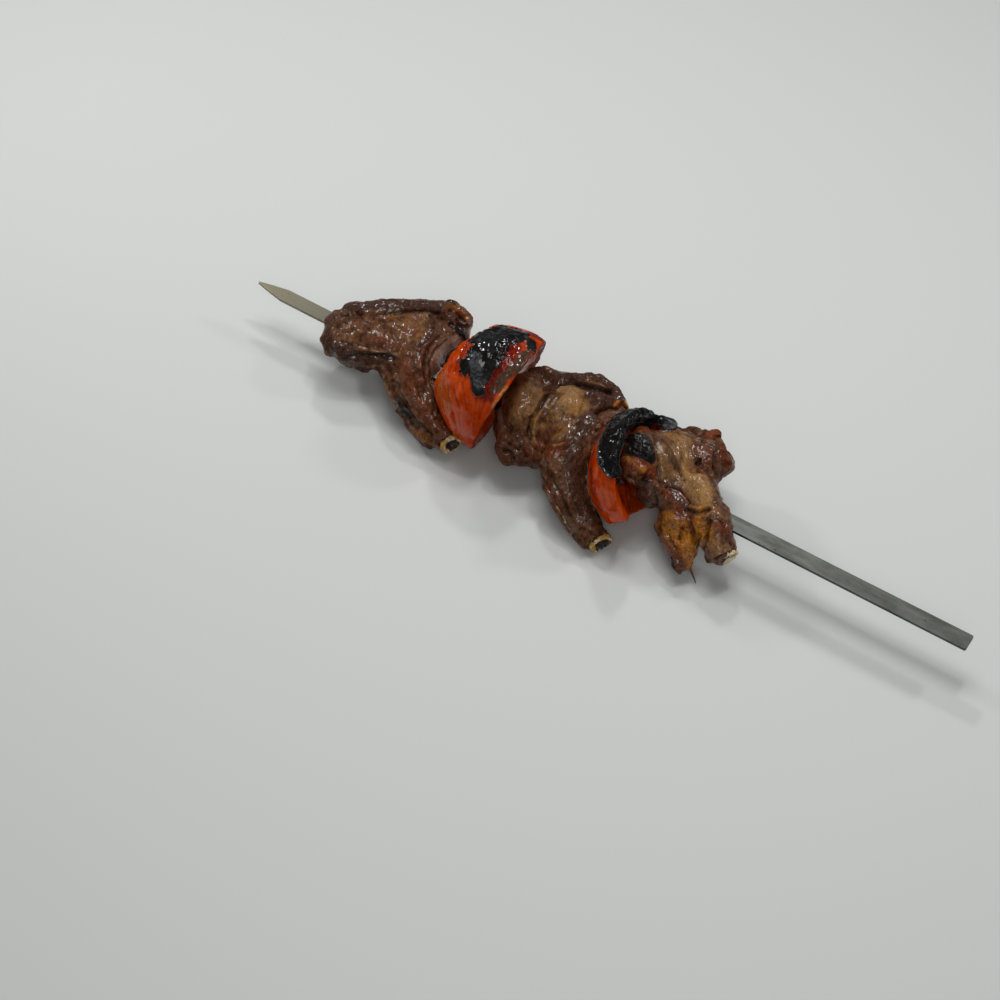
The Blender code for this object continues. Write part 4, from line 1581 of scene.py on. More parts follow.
CHOP_2 = Chop(
    node="chop_2_meat",
    grain=(0.2, -0.9, -0.3),
    rib_end=(30.0, -33.7, 6.0),
    rib_way=(5.0, -3.0, -1.5),
    blobs=(
        Blob(((-45.7, -4.6, 24.1), (-43.2, -9.5, 21.1), (-36.3, -17.4, 24)), (5, 5, 4.6)),
        Blob(((-35.7, -21.3, 22.6), (-31.9, -22.7, 19.6), (-27.6, -20.8, 19.6)), (4.2, 4.2, 3.6)),
        Blob(((-35, -23.6, 17.5),), (1.8,)),
        Blob(((-31.1, -23.3, 15.4),), (1.7,)),
        Blob(((-26.2, -21.6, 17.6), (-23.3, -20.5, 21.1)), (1.7, 1.5)),
        Blob(((-40.7, -17, 23.9),), (2,)),
        Blob(((-30.8, 23.5, 34.2), (-25.9, 27.3, 34.4), (-20.9, 30.8, 35.1),
             (-14.3, 33.1, 34.8), (-7.7, 31.5, 35), (-1.1, 28.6, 35.3)),
             (2.3, 2.5, 2.5, 2.5, 2.5, 2.2)),
        Blob(((-45.4, 19.7, 32.8), (-40.4, 23.4, 33.1), (-35.9, 23.9, 33.6)), (2.4, 2.6, 2.2)),
        Blob(((0.4, 22.4, 34.1), (0.2, 24.5, 35.6), (1.3, 27.2, 35.3), (3.6, 27.9, 32),
             (4.6, 28.1, 26.1)), (0.9, 0.8, 1, 1, 0.9)),
        Blob(((2.4, 24.4, 32.5),), (2.2,)),
        Blob(((-32.7, -11.8, 26.1), (-25.3, -14.5, 25.4)), (3.2, 3)),
    ),
    reliefs=strokes(
        (Form.BULGE, 4, 0.7, (-44.8, 18.4, 33.5), (-40.8, 22.5, 33.8), (-37.1, 23.1, 34.6)),
        (Form.CREASE, 2, -3.24, (-29.3, 15.5, 36.7), (-27.5, 19.6, 36.1), (-23.4, 23.2, 36),
            (-17.2, 24.8, 36), (-9.7, 25.6, 37.8), (-6.1, 26.8, 36.6)),
        (Form.CREASE, 1.5, -2.29, (-30.2, 8.7, 35.9), (-29, 0.7, 35.6), (-29.2, -6.4, 34.1),
            (-28.1, -9.3, 29.9), (-25.1, -12.3, 26.5), (-20.7, -14.2, 25.6)),
        (Form.RIDGE, 1.4, 1.4, (-27.2, 8.5, 36.9), (-27.1, 1.5, 35), (-27.3, -5.5, 33.4),
            (-26.5, -8.4, 29), (-23.1, -12.3, 26.2)),
        (Form.CREASE, 1.2, -0.94, (-22.9, 7.9, 38.2), (-23.9, -0.3, 35.1), (-25.1, -5.1, 31.9),
            (-23.5, -8.7, 28.1)),
        (Form.BULGE, 5, 0.8, (-40.7, 0.1, 38.4), (-37.3, -6.2, 36.3), (-35.4, -10.3, 32.3)),
        (Form.BULGE, 6, 0.8, (-21.9, 3.4, 37), (-18.3, 10, 39.1)),
        (Form.BULGE, 5, 0.6, (-18, -5, 31.3), (-13.8, -1.8, 35)),
        (Form.RIDGE, 1, 0.8, (-18.9, -10.7, 24.3), (-10.5, -14.3, 34.3), (-8.1, -11.8, 35.3)),
        (Form.CREASE, 1.6, -1.08, (-18.9, -14.5, 24.4), (-9.7, -16.7, 34), (-5.3, -12.6, 35.3),
            (-4.3, -7.9, 36)),
        (Form.CREASE, 1.5, -1.22, (-29.2, -12.3, 26.8), (-26.6, -18.7, 26.6), (-22.5, -20, 23.3)),
        (Form.BULGE, 4.5, -2.6, (-34, -22.4, 12.6), (-30.1, -21.4, 11.9), (-24.7, -19.5, 11.5),
            (-19.5, -19.4, 14)),
        (Form.CREASE, 1.4, -1.62, (-33.1, -23.3, 24.8), (-29.4, -22.9, 24.7), (-26.9, -23, 19.2)),
        (Form.CREASE, 1.4, -1.62, (-38.8, -19.8, 23.7), (-32.5, -20.6, 27.7),
            (-27.1, -20.3, 25.8)),
        (Form.PIT, 1.5, -1, (-33.5, -24, 23.1)),
        (Form.PIT, 1.2, -0.8, (-28.2, -23.4, 21.8)),
        (Form.CREASE, 1.5, -0.81, (-14.4, 20.4, 35.9), (-11.5, 10.7, 36.8), (-7.4, 0.6, 36.9),
            (-5.6, -9.7, 35.8)),
        (Form.BULGE, 4.5, 0.7, (-9.2, 19.8, 35.6), (-5.5, 8.7, 36.4)),
        (Form.RIDGE, 0.9, 1.1, (0.2, 22, 34.5), (0.4, 24.2, 36), (1.7, 26.5, 35.8),
            (3.8, 27.2, 32.8), (4.5, 27.9, 26.9)),
        (Form.PIT, 1.2, -0.7, (2.3, 26.1, 30.2)),
        (Form.RIDGE, 0.9, 0.9, (-1.9, 25.5, 26.4), (-2.7, 21, 25), (0.3, 9.7, 34.5)),
        (Form.CREASE, 1.3, -1.35, (-0.1, 24.6, 25.5), (-1, 19.7, 24.4), (1.1, 4.8, 34.2)),
        (Form.BULGE, 4.5, 0.7, (0.6, -11.8, 33.8), (3.1, -19.3, 29.5), (9.6, -24.2, 23.3),
            (17, -28.1, 17.7)),
        (Form.CREASE, 1, -1.22, (-18.5, -18.6, 20.4), (-8.8, -26.2, 22.2), (0.3, -31.7, 21.4),
            (7.3, -35, 15.9)),
        (Form.RIDGE, 1, 0.8, (-17, -17.2, 20), (-6.7, -26.5, 25), (1.9, -31.1, 23),
            (9.5, -34.7, 17.2)),
        (Form.CREASE, 1, -1.08, (-11.6, -22, 28.6), (-4, -26.4, 26.7), (4.4, -30.7, 23.3),
            (11.5, -34.2, 17)),
        (Form.RIDGE, 1, 0.6, (-9.2, -21.6, 30.8), (-1.8, -25.7, 28.6), (6.4, -29.6, 23.5),
            (13.2, -33.2, 17.2)),
        (Form.RIDGE, 0.8, 0.7, (4.7, -10.6, 28.1), (7, -13.3, 20.7), (12.6, -19.9, 18.7),
            (18.7, -24.5, 16.1), (23.6, -28.4, 14.2)),
        (Form.CREASE, 1, -0.94, (4.4, -12.6, 28.8), (7.3, -15.6, 23.4), (12, -21.9, 20.4),
            (18.2, -26.9, 17.3)),
        (Form.CREASE, 0.9, -0.68, (-0.7, -19.6, 32.5), (4.1, -24.4, 28.2), (9.8, -28.2, 22.3),
            (16, -31.5, 17.5)),
    ),
    paints=strokes(
        (Tone.SEAR, 3.2, 1, (-32.1, 23, 35.1), (-25.5, 26.6, 35.5), (-20.3, 31, 35.5),
            (-14.2, 32.9, 35.5), (-6, 30, 36.2), (0.3, 27.4, 36.6)),
        # Sear and painted shade: this stroke also darkens the fold under the cap.
        (Tone.SEAR, 2, 0.9, (-33.2, 13.3, 34.7), (-29.5, 20.1, 35.3), (-23.7, 23.6, 36),
            (-16.8, 25.5, 36.2), (-9.2, 26.1, 37.9)),
        (Tone.CHAR, 1.6, 0.6, (-26.1, 27.5, 35.1), (-21.8, 32.3, 33.5), (-15, 33.9, 34.5),
            (-7.9, 31.7, 35.9)),
        (Tone.SEAR, 3.5, 0.6, (-45.1, 18.3, 33.7), (-40.6, 21.9, 33.8), (-34.6, 20.6, 34.2)),
        (Tone.SEAR, 4.5, 0.85, (-11.2, 21.6, 36.7), (-4.6, 22.7, 35.8), (-5.6, 19.8, 27.6),
            (-4.1, 6.5, 36.3), (-3.3, -2.2, 36.1)),
        (Tone.SEAR, 6, 0.7, (-1.8, -10.6, 35.2), (1.8, -18.5, 31), (8.6, -24, 24.5),
            (17, -28.1, 17.7)),
        (Tone.SEAR, 7, 0.55, (-39.4, -18.5, 22.9), (-33.7, -22.5, 25.7), (-28.9, -23.6, 22.5),
            (-23.2, -21.3, 21)),
        (Tone.GLAZE, 6, 0.5, (-37.8, -21.3, 23.8), (-31, -24.2, 22.8), (-25.8, -22.3, 20.2)),
        (Tone.SEAR, 4, 0.55, (-36, -14.2, 26.4), (-28.5, -18.2, 27.9), (-23.7, -18.1, 25.9)),
        (Tone.PALE, 4.5, 0.8, (-24.6, 15, 38.1), (-17.6, 17.8, 37.4)),
        (Tone.PALE, 7, 1, (-21.9, 3.4, 37), (-16.4, 9.6, 38.8), (-14.7, 13.1, 38.5)),
        (Tone.PALE, 5.5, 0.8, (-24.3, -3.9, 32.3), (-18.9, -1.2, 35.2), (-13.3, -4.9, 34.2)),
        (Tone.PALE, 5, 0.5, (-39, 4.9, 39), (-33.8, 5.5, 37.7), (-31.1, -2.3, 36.6)),
        (Tone.PALE, 1.4, 0.9, (-25.7, 6.8, 37.5), (-27.2, 0.4, 34.9), (-27.6, -6, 33.2),
            (-26.7, -8.5, 28.9), (-23.3, -12.5, 26.3)),
        (Tone.PALE, 4.5, 0.5, (-40.7, 0.1, 38.4), (-36.2, -4.2, 37.2), (-34.9, -9.9, 33.2)),
        (Tone.PALE, 1, 0.9, (-18.9, -10.7, 24.3), (-10.5, -14.3, 34.3), (-8.1, -11.8, 35.3)),
        (Tone.FAT, 3, 0.32, (-15.8, 18.7, 36.6), (-12.8, 10.2, 37.4), (-13.7, 3, 36.5)),
        (Tone.GLAZE, 3, 0.7, (-18.7, -5.1, 30.9), (-13.3, -4.9, 34.2)),
        (Tone.GLAZE, 4.5, 0.5, (-26, -2.5, 33.9), (-19.7, -3.6, 32.9), (-20, -6.7, 29.5)),
        (Tone.GLAZE, 4, 0.7, (-20.8, -10.3, 25.2), (-10, -17.5, 33.5), (-7.1, -12.2, 35.3)),
        (Tone.GLAZE, 4, 0.6, (-23.7, -18.1, 25.9), (-17.9, -18.3, 19.4), (-6.1, -27.9, 22.6),
            (4.1, -33.8, 18.8)),
        (Tone.FAT, 1.6, 0.5, (-23.4, -18.5, 25.4), (-17.8, -18.5, 17.5), (-4.8, -28.8, 22.3)),
        (Tone.SMOOTH, 3, 0.7, (-47.3, -2.1, 34.2), (-46.3, -5.1, 26.2), (-38.3, -16.5, 24.9)),
        (Tone.FAT, 1.2, 0.8, (0.3, 23, 35.6), (1.7, 26.5, 35.8), (3.8, 27.2, 32.8)),
        (Tone.BONE, 0.8, 0.7, (2.9, 27.2, 34.8), (4.3, 27.7, 30.6), (4.5, 27.9, 26.9)),
        (Tone.FAT, 0.8, 0.7, (-1.9, 25.5, 26.4), (-2.7, 21, 25), (0, 7.4, 35.1),
            (-1.3, -0.3, 35.6)),
        (Tone.GLAZE, 2.6, 0.9, (3, 24, 33.8)),
        (Tone.CHAR, 1.6, 0.8, (1.4, 26, 25.6)),
        (Tone.BONE, 0.7, 0.6, (5, -10.4, 27.1), (7.2, -13.7, 20.3), (12.6, -19.6, 18.5),
            (18.7, -24.5, 16.1)),
        (Tone.BONE, 0.8, 0.5, (3.3, -33.8, 18.3), (8.4, -35.4, 15), (12.6, -36.8, 10.9)),
    ),
)

CHOP_3 = Chop(
    node="chop_3_meat",
    grain=(0.6, -0.8, -0.2),
    rib_end=(87.0, -16.7, 18.0),
    rib_way=(7.0, -4.0, -4.0),
    blobs=(
        Blob(((24, 3.1, 44), (27.5, 3.6, 43.8), (31.5, 0.5, 41.4)), (3.2, 3.2, 3)),
        Blob(((24.5, -8.7, 40.8), (29.5, -8.3, 41.7)), (2.4, 2.8)),
        Blob(((33.9, -7.9, 40.2), (37.3, -5.4, 36.9)), (2.4, 2.4)),
        Blob(((46.3, 32.4, 33), (48.7, 35.8, 31.9)), (2.6, 2)),
        Blob(((52.3, 31.9, 33.1), (56.2, 27.7, 33.8)), (2.4, 2.6)),
        Blob(((60.3, 25.8, 30.1), (62.9, 27.1, 25.8)), (2.8, 1.7)),
        Blob(((64.6, -16.8, 17.5), (68.6, -19.8, 12.8), (69.6, -23.5, 9.4)), (4.2, 3.4, 2.2)),
        Blob(((64.1, -25.4, 11.4), (66.1, -26.5, 9.2), (66.7, -24.3, 2.3)), (1.9, 1.9, 1.2)),
        Blob(((48.8, -15.6, 15.4), (55, -20.4, 16.6), (60.8, -22.9, 14.9)), (2.4, 2.2, 1.8)),
        Blob(((60.1, -7.2, 30.1), (64.9, -8.1, 32.4), (67.6, -4.6, 33.7)), (1.2, 1.2, 1.2)),
        Blob(((79.3, -7.9, 29.3), (82.5, -9.1, 26.6)), (2, 1.8)),
        Blob(((76.6, -23, 16),), (1.6,)),
        Blob(((65.5, 6.4, 32.8), (68.2, 0.2, 33.8)), (1.6, 1.6)),
    ),
    reliefs=strokes(
        (Form.BULGE, 6, -3.4, (26.6, 23.8, 37.1), (31.1, 28, 37), (36.4, 31.1, 35.9),
            (40.9, 32.1, 35.3)),
        (Form.BULGE, 5, -3, (27.8, -14.3, 32.4), (31.6, -13, 25.4), (35.4, -14.1, 23.3)),
        (Form.BULGE, 5, 0.9, (23.2, 0.5, 45.1), (28.1, 0, 44.8), (32, -1.2, 42.4)),
        (Form.BULGE, 3.4, 1.2, (26.7, -10, 42.7), (31.5, -7.9, 42.8)),
        (Form.BULGE, 2.8, 1, (34.8, -8.2, 41.1), (37.1, -5.4, 38.8)),
        (Form.CREASE, 1.3, -1.35, (29.7, -4.9, 42.6), (33.7, -6.5, 41.8), (36.7, -9.8, 39)),
        (Form.CREASE, 1.7, -1.49, (29, 10, 43.6), (34.9, 2.9, 42.4), (39.3, -2.8, 38.7),
            (44.5, -7.1, 34.2)),
        (Form.CREASE, 1.5, -1.22, (29.8, -14.7, 39.3), (35, -13.2, 38.2), (38.2, -8.3, 37.4)),
        (Form.BULGE, 6, 0.8, (34.8, 12.1, 41.3), (41.2, 5.4, 39.9)),
        (Form.CREASE, 1.4, -1.08, (41.3, 14.2, 40.4), (44.8, 9.8, 37.9), (46.4, 5, 35.6),
            (51.3, 0.6, 35.2)),
        (Form.RIDGE, 1.6, 0.8, (41.1, 17.1, 40.5), (45.6, 12.4, 37.9), (47.1, 7.7, 35.4),
            (53.2, 3.7, 35.3)),
        (Form.BULGE, 3.6, 0.9, (55.5, 6.2, 35.4), (61.7, 3.3, 35.4), (66.4, -2.1, 35)),
        (Form.PIT, 1.5, -1.3, (51.5, 13.9, 35)),
        (Form.PIT, 1.1, -0.9, (51.6, 15.6, 35.6), (51.2, 13.2, 34.6)),
        (Form.RIDGE, 1, 0.7, (48.4, 13.8, 36.3), (49.6, 16.4, 36), (52.3, 16.3, 35.8),
            (53.8, 13.9, 34.6)),
        (Form.BULGE, 3, 1.8, (46.3, 31.6, 34.2), (49, 35.1, 33)),
        (Form.CREASE, 1.4, -1.35, (47.6, 24.8, 37.1), (52.2, 24.7, 37.2), (53.4, 29.7, 35)),
        (Form.CREASE, 1.5, -1.22, (55.2, 22.3, 36.4), (57.5, 17.2, 34.9), (60.7, 15.1, 30.9)),
        (Form.BULGE, 3.2, 0.9, (59.5, 24.7, 32.8), (62.1, 23.5, 29.5)),
        (Form.CREASE, 1.4, -1.22, (46.1, -5.7, 32.9), (51.6, -3.4, 32.2), (58.7, -6.3, 30.8)),
        (Form.RIDGE, 1.2, 0.7, (59.8, -7.5, 30.7), (65.1, -8.5, 33.3), (67.9, -4.6, 34.6),
            (67.7, -1.1, 34.9)),
        (Form.CREASE, 1.4, -1.49, (59.1, -9.3, 29.5), (65.4, -10.1, 32.2), (69.2, -6.8, 34.2)),
        (Form.BULGE, 3.4, 0.9, (50.9, -8.1, 29.2), (55.8, -7.6, 30.1)),
        (Form.BULGE, 4, 0.7, (40.6, -14.2, 32.7), (43.7, -13.8, 28)),
        (Form.CREASE, 1.6, -1.49, (42.5, -10.1, 35), (45.5, -12, 30.6), (44.9, -10.5, 20)),
        (Form.BULGE, 3.4, 1.1, (52.7, -15.7, 24.8), (57.7, -15.4, 26)),
        (Form.BULGE, 3.6, 1, (61.6, -13, 26.2), (66.9, -13.2, 27.1)),
        (Form.BULGE, 3.6, 0.8, (64.8, -17.6, 20.7), (67.8, -21, 16.9)),
        (Form.CREASE, 1.2, -1.22, (57.4, -13.7, 27.1), (61.3, -16.1, 24), (62.1, -19.5, 20.8)),
        (Form.CREASE, 1.2, -1.08, (66.4, -13.2, 24.6), (71.2, -16.6, 26.4), (69.7, -14.5, 13.2)),
        (Form.CREASE, 1.3, -1.22, (49.6, -16.4, 16.7), (56.6, -20.4, 19.9), (62.2, -23.1, 17.3)),
        (Form.CREASE, 2, -2.97, (72.2, -11.1, 32.9), (74.1, -16.8, 27.8), (74.4, -19.3, 19.5),
            (71, -19.9, 8.8)),
        (Form.BULGE, 4, 0.6, (78.8, -13.6, 29.9), (81.7, -19.1, 25.3)),
        (Form.CREASE, 1.2, -0.81, (78.8, -9.9, 31.1), (81.3, -15.1, 28), (84.6, -18.4, 25.5)),
        (Form.CREASE, 1.4, -1.08, (71.7, -8.4, 33.9), (75.8, -7.7, 32.9), (79.3, -8.2, 30.7)),
    ),
    paints=strokes(
        (Tone.CHAR, 3.6, 1, (22.8, 1.1, 45.2), (27.3, 3.8, 45.5), (31.3, 1.1, 43.8),
            (33.6, -1.1, 41.3), (28.3, -2.7, 43.5), (24.3, -2.5, 43.7)),
        (Tone.CHAR, 3.6, 1, (26.7, -0.2, 45), (29.8, -0.2, 44)),
        (Tone.PEBBLE, 4, 1, (22.8, 1.1, 45.2), (27.3, 3.8, 45.5), (31.3, 1.1, 43.8),
            (33.6, -1.1, 41.3), (27.7, -1.8, 44.2)),
        (Tone.FAT, 2.2, 0.7, (23.9, -7.9, 41.7), (29.4, -9.5, 43), (33.9, -9.2, 41.6)),
        (Tone.GLAZE, 2.6, 0.8, (25.1, -11, 41.5), (30.8, -11.6, 41.9), (28.8, -6, 43.1),
            (33.3, -5.8, 41.8)),
        (Tone.GLAZE, 3, 0.9, (33.3, -5.8, 41.8), (36.8, -4.9, 39.2), (38.2, -8.3, 37.4)),
        (Tone.GLAZE, 3, 0.7, (29.7, -4.9, 42.6), (35.7, -4.4, 39.9), (36.3, -10.4, 39.3),
            (37.8, -4, 38.9)),
        (Tone.GLAZE, 4, 0.9, (19.2, 6.8, 44.6), (22.8, 11.3, 44.3), (26.7, 12.7, 42.5)),
        (Tone.FAT, 1.4, 0.7, (19.8, -0.5, 43), (20.6, -4.3, 39.8)),
        (Tone.PALE, 4, 0.65, (28.6, 15, 40.4), (35.5, 16.1, 40.8), (41.5, 19.1, 39.8)),
        (Tone.PALE, 6, 0.65, (36.8, 6.2, 42.4), (41.8, 0.8, 38.8), (48.5, 1.3, 35.6)),
        (Tone.SEAR, 1, 0.6, (31.4, 8.5, 43.6), (36.4, 9.4, 41.9), (41, 7.1, 40.1)),
        (Tone.SEAR, 0.8, 0.5, (31.4, 14, 41.2), (37.3, 13.2, 40.7), (42.6, 10.8, 39.6)),
        (Tone.PALE, 5, 1, (42.2, 14.1, 40.1), (46.1, 10.4, 37.2), (52.4, 5.2, 35.3),
            (59.3, 3.7, 35.4), (65.3, -0.2, 35.3)),
        (Tone.PALE, 5, 1, (55.2, 1.8, 34.5), (63.4, -3.3, 35.2)),
        (Tone.GLAZE, 3, 0.9, (19.2, 6.7, 44.6), (23.2, 10.7, 44.7), (26.1, 19.4, 38.1),
            (31, 18.6, 40.4)),
        (Tone.SEAR, 2.6, 0.7, (39, 6.3, 41.7), (44.3, 4.6, 36.7)),
        (Tone.SEAR, 2.4, 0.8, (44.4, 4.3, 36.5)),
        (Tone.GLAZE, 3.6, 0.5, (46.2, 19.3, 37.5), (51.4, 20.9, 37.3), (55.3, 17.1, 35.6),
            (52.1, 9.7, 33.7)),
        (Tone.SEAR, 2.4, 1, (51.5, 13.9, 35)),
        (Tone.FAT, 2, 0.45, (46.7, 30.8, 34.6), (48.6, 34.4, 33.4)),
        (Tone.GLAZE, 3, 0.8, (46.2, 30.1, 35), (47.8, 34.4, 33.4), (50.2, 35.8, 32)),
        (Tone.PEBBLE, 2.6, 0.5, (45.8, 30.9, 34.5), (48.3, 34.8, 33.4), (51.2, 35.6, 30.8)),
        (Tone.PEBBLE, 3, 0.35, (57.9, -12.2, 28), (62.4, -11.8, 26.6), (66.4, -13.2, 24.6)),
        (Tone.CHAR, 1.2, 0.7, (44.7, 31.7, 34), (45.6, 34.2, 33.4)),
        (Tone.GLAZE, 4, 0.6, (55.8, 25.4, 35.8), (61, 25.2, 31.2), (62.8, 24, 27.3)),
        (Tone.SEAR, 2.4, 0.5, (54.2, 26.8, 36.4), (56.6, 20, 35.6), (60, 17.4, 32.2)),
        (Tone.GLAZE, 4, 1, (46.7, -6.6, 32), (52.2, -5.4, 30.5), (57.1, -8.4, 29.7)),
        (Tone.SEAR, 1.8, 0.8, (50, -6.7, 30.3), (53.9, -6.9, 30.1), (56.5, -8.7, 29.6)),
        (Tone.CHAR, 1.5, 0.7, (36.4, -11.7, 38), (37.9, -10.4, 37.2)),
        (Tone.PALE, 1.4, 1, (60, -7.7, 30.6), (65.1, -8.5, 33.3), (67.9, -5.1, 34.5)),
        (Tone.SEAR, 5, 0.75, (36.3, -13.6, 34.3), (41.8, -13.7, 33), (44.6, -12.3, 25)),
        (Tone.FAT, 4, 0.8, (46.7, -12.4, 18), (53, -16.1, 24.4), (57.7, -14.1, 26.8)),
        (Tone.FAT, 6.5, 1, (61.3, -17.1, 23), (67.2, -18.9, 18.5), (69.9, -22.6, 12.7)),
        (Tone.FAT, 4.5, 0.9, (53.5, -16.9, 23.6), (58.3, -19.6, 21.4)),
        (Tone.FAT, 5, 1, (66.9, -10.2, 32.4), (71.8, -15.4, 28.8), (69.7, -15, 16)),
        (Tone.GLAZE, 3, 0.75, (57, -12, 28.3), (62.7, -11.3, 27.4), (66, -13.7, 23.7)),
        (Tone.GLAZE, 1.8, 0.8, (50.4, -17.7, 15.6), (54.8, -21.8, 15.7), (62.4, -24.4, 15.6)),
        (Tone.CHAR, 1.2, 0.8, (62.5, -25.6, 12.8), (65.1, -27.6, 10.1), (66.2, -24.4, 4.6)),
        (Tone.GLAZE, 3, 0.9, (64.2, -24.7, 15.1), (68.3, -26, 10.9)),
        (Tone.FAT, 3, 0.6, (71.1, -6.1, 34.2), (75, -7.6, 33.3)),
        (Tone.GLAZE, 3.4, 0.8, (77.1, -9.9, 32), (81, -9.7, 29.4)),
        (Tone.PALE, 3.6, 0.5, (79.2, -16.6, 28.1), (81.7, -20.2, 24.3)),
        (Tone.SEAR, 2.4, 0.5, (78.7, -21.2, 22.1), (77.9, -21.8, 18)),
        (Tone.BONE, 2.4, 0.7, (85.1, -11.8, 16.3), (84.1, -14.7, 12.2)),
        (Tone.SEAR, 2, 0.6, (61, 10, 34.3), (66.4, 3.2, 34.6), (70.2, -2.1, 34.6)),
    ),
)

TOMATO_1 = TomatoHalf(
    node="tomato_1",
    middle=(-48.5, 3.2, 30.0),
    way=(-0.95, -0.045, 0.31),
    radius=32.0,
    grain=(0.25, -0.5, -0.85),
    reliefs=strokes(
        (Form.BULGE, 10, -8, (-82.4, -3.7, 43.1), (-81.4, 2.1, 46.8), (-79.6, 8.3, 49),
            (-76.7, 11.7, 51.4)),
        (Form.CREASE, 1, -0.68, (-68.4, -3.2, 58.4), (-67.8, -9.4, 56.5), (-66.9, -15.6, 52.8)),
        (Form.CREASE, 1, -0.54, (-67.4, -20.2, 46.8), (-64.5, -24, 42), (-60.8, -26.6, 36.7)),
        (Form.CREASE, 1, -0.54, (-64.9, -18.5, 50.8), (-61.7, -22.7, 46.7), (-57.2, -25.8, 42.4)),
        (Form.CREASE, 1, -0.54, (-60, -19, 52.3), (-55.4, -23.6, 47.5), (-51.6, -26.9, 40.9)),
        (Form.CREASE, 1, -0.47, (-50.4, -21.5, 50.7), (-48.8, -25.1, 45.1), (-47.9, -27.7, 38)),
        (Form.CREASE, 1, -0.47, (-46.6, -17.6, 54.5), (-45.7, -22.5, 48.7), (-45.6, -26.2, 42.1)),
        (Form.CREASE, 1, -0.47, (-43.3, -12.9, 57.1), (-42.3, -19.2, 51.8), (-42.7, -24.6, 44.6)),
        (Form.RIDGE, 1.2, 0.4, (-39.3, -13.1, 55.9), (-40.4, -17.3, 53.2), (-41.6, -21.4, 49.2)),
    ),
    paints=strokes(
        (Tone.CHAR, 5.5, 1, (-60.1, 12.1, 60.4), (-56.5, 16.4, 59.3), (-51.6, 18, 58.8)),
        (Tone.CHAR, 6.5, 1, (-65.4, 3.1, 60.4), (-61.8, 7.4, 61.2), (-56.2, 8.7, 61.9),
            (-52.2, 12.3, 61.1)),
        (Tone.CHAR, 6.5, 1, (-60.5, -4, 61), (-56, -1.2, 62.2), (-53.4, 3.3, 62.5)),
        (Tone.CHAR, 5.5, 1, (-60.9, -12.3, 57.5), (-57.2, -11.3, 58.8), (-53.9, -7.8, 60.6),
            (-52, -3.5, 61.8)),
        (Tone.CHAR, 3.4, 1, (-54.7, -15.5, 56.4), (-52.2, -18.1, 54.4), (-50.4, -19.3, 53.2)),
        (Tone.CHAR, 4.5, 1, (-51.9, -14.5, 57.2), (-51.3, -11.7, 58.9), (-50.4, -8.4, 60.4)),
        (Tone.CHAR, 2.6, 0.95, (-48.7, 16.8, 59.1), (-43.7, 15.2, 59.2), (-41.1, 11.3, 59.9)),
        (Tone.OLIVE, 3.2, 0.9, (-40.9, 7.3, 60.6), (-40.6, 2, 60.8), (-40.7, -3.8, 60.1),
            (-42.4, -9.6, 58.6), (-43.3, -15.3, 55.4)),
        # Painted grey sheen on the burnt skin.
        (Tone.PAINTED_SHEEN, 4, 0.8, (-60.7, -7.3, 60), (-56.5, -12.4, 58.3), (-51.8, -16.9, 55.5)),
        (Tone.PAINTED_SHEEN, 2.5, 0.5, (-63.5, 1.6, 60.9), (-59.7, 6.6, 61.7), (-59.8, 16.5, 58.7)),
        (Tone.PAINTED_SHEEN, 2.5, 0.4, (-52.6, -3.9, 61.7), (-50.3, 2.2, 62.5)),
        (Tone.DEEP, 4.6, 1, (-47.2, 7.1, 61.9), (-46.5, 0.1, 61.9), (-45.8, -8.1, 60),
            (-46.3, -14.5, 56.7), (-46.4, -19.1, 53)),
        (Tone.DEEP, 2, 0.5, (-68.9, -2.4, 58.3), (-67.8, -8.7, 56.8), (-66.8, -13.8, 54.3)),
        (Tone.DEEP, 8, 0.3, (-40.9, -21.4, 48.7), (-44.6, -26.5, 41.1), (-51.4, -28.5, 33.4),
            (-52.4, -19.1, 15)),
        (Tone.PALE, 0.9, 0.8, (-39.1, -12.1, 56.5), (-40.4, -17.3, 53.2), (-41.3, -21.3, 49.3)),
        (Tone.DEEP, 4, 1, (-44.4, 30.2, 46.4), (-45.9, 30.2, 40.7), (-49.8, 30.2, 30.3),
            (-52.4, 25.5, 23.6)),
        (Tone.DEEP, 4.5, 1, (-49, 23.5, 55), (-45.1, 25, 53), (-43.3, 27.9, 49.6)),
        (Tone.OLIVE, 2.4, 0.8, (-47.1, 28, 50.1), (-43.5, 27.9, 49.6)),
        (Tone.DEEP, 2, 0.5, (-50.8, 26.7, 28.7), (-54.1, 20.6, 18.7), (-56, 13.4, 11.8),
            (-56.8, 7.1, 6.7), (-56.9, -4.2, 0.5)),
        (Tone.ORANGE, 8, 0.9, (-77.9, -12.3, 44.9), (-75.1, -17.7, 41.6), (-67.9, -23.4, 39.3)),
        (Tone.ORANGE, 5, 0.6, (-75.5, -6, 52.6), (-78.8, -8.5, 46.9)),
    ),
)

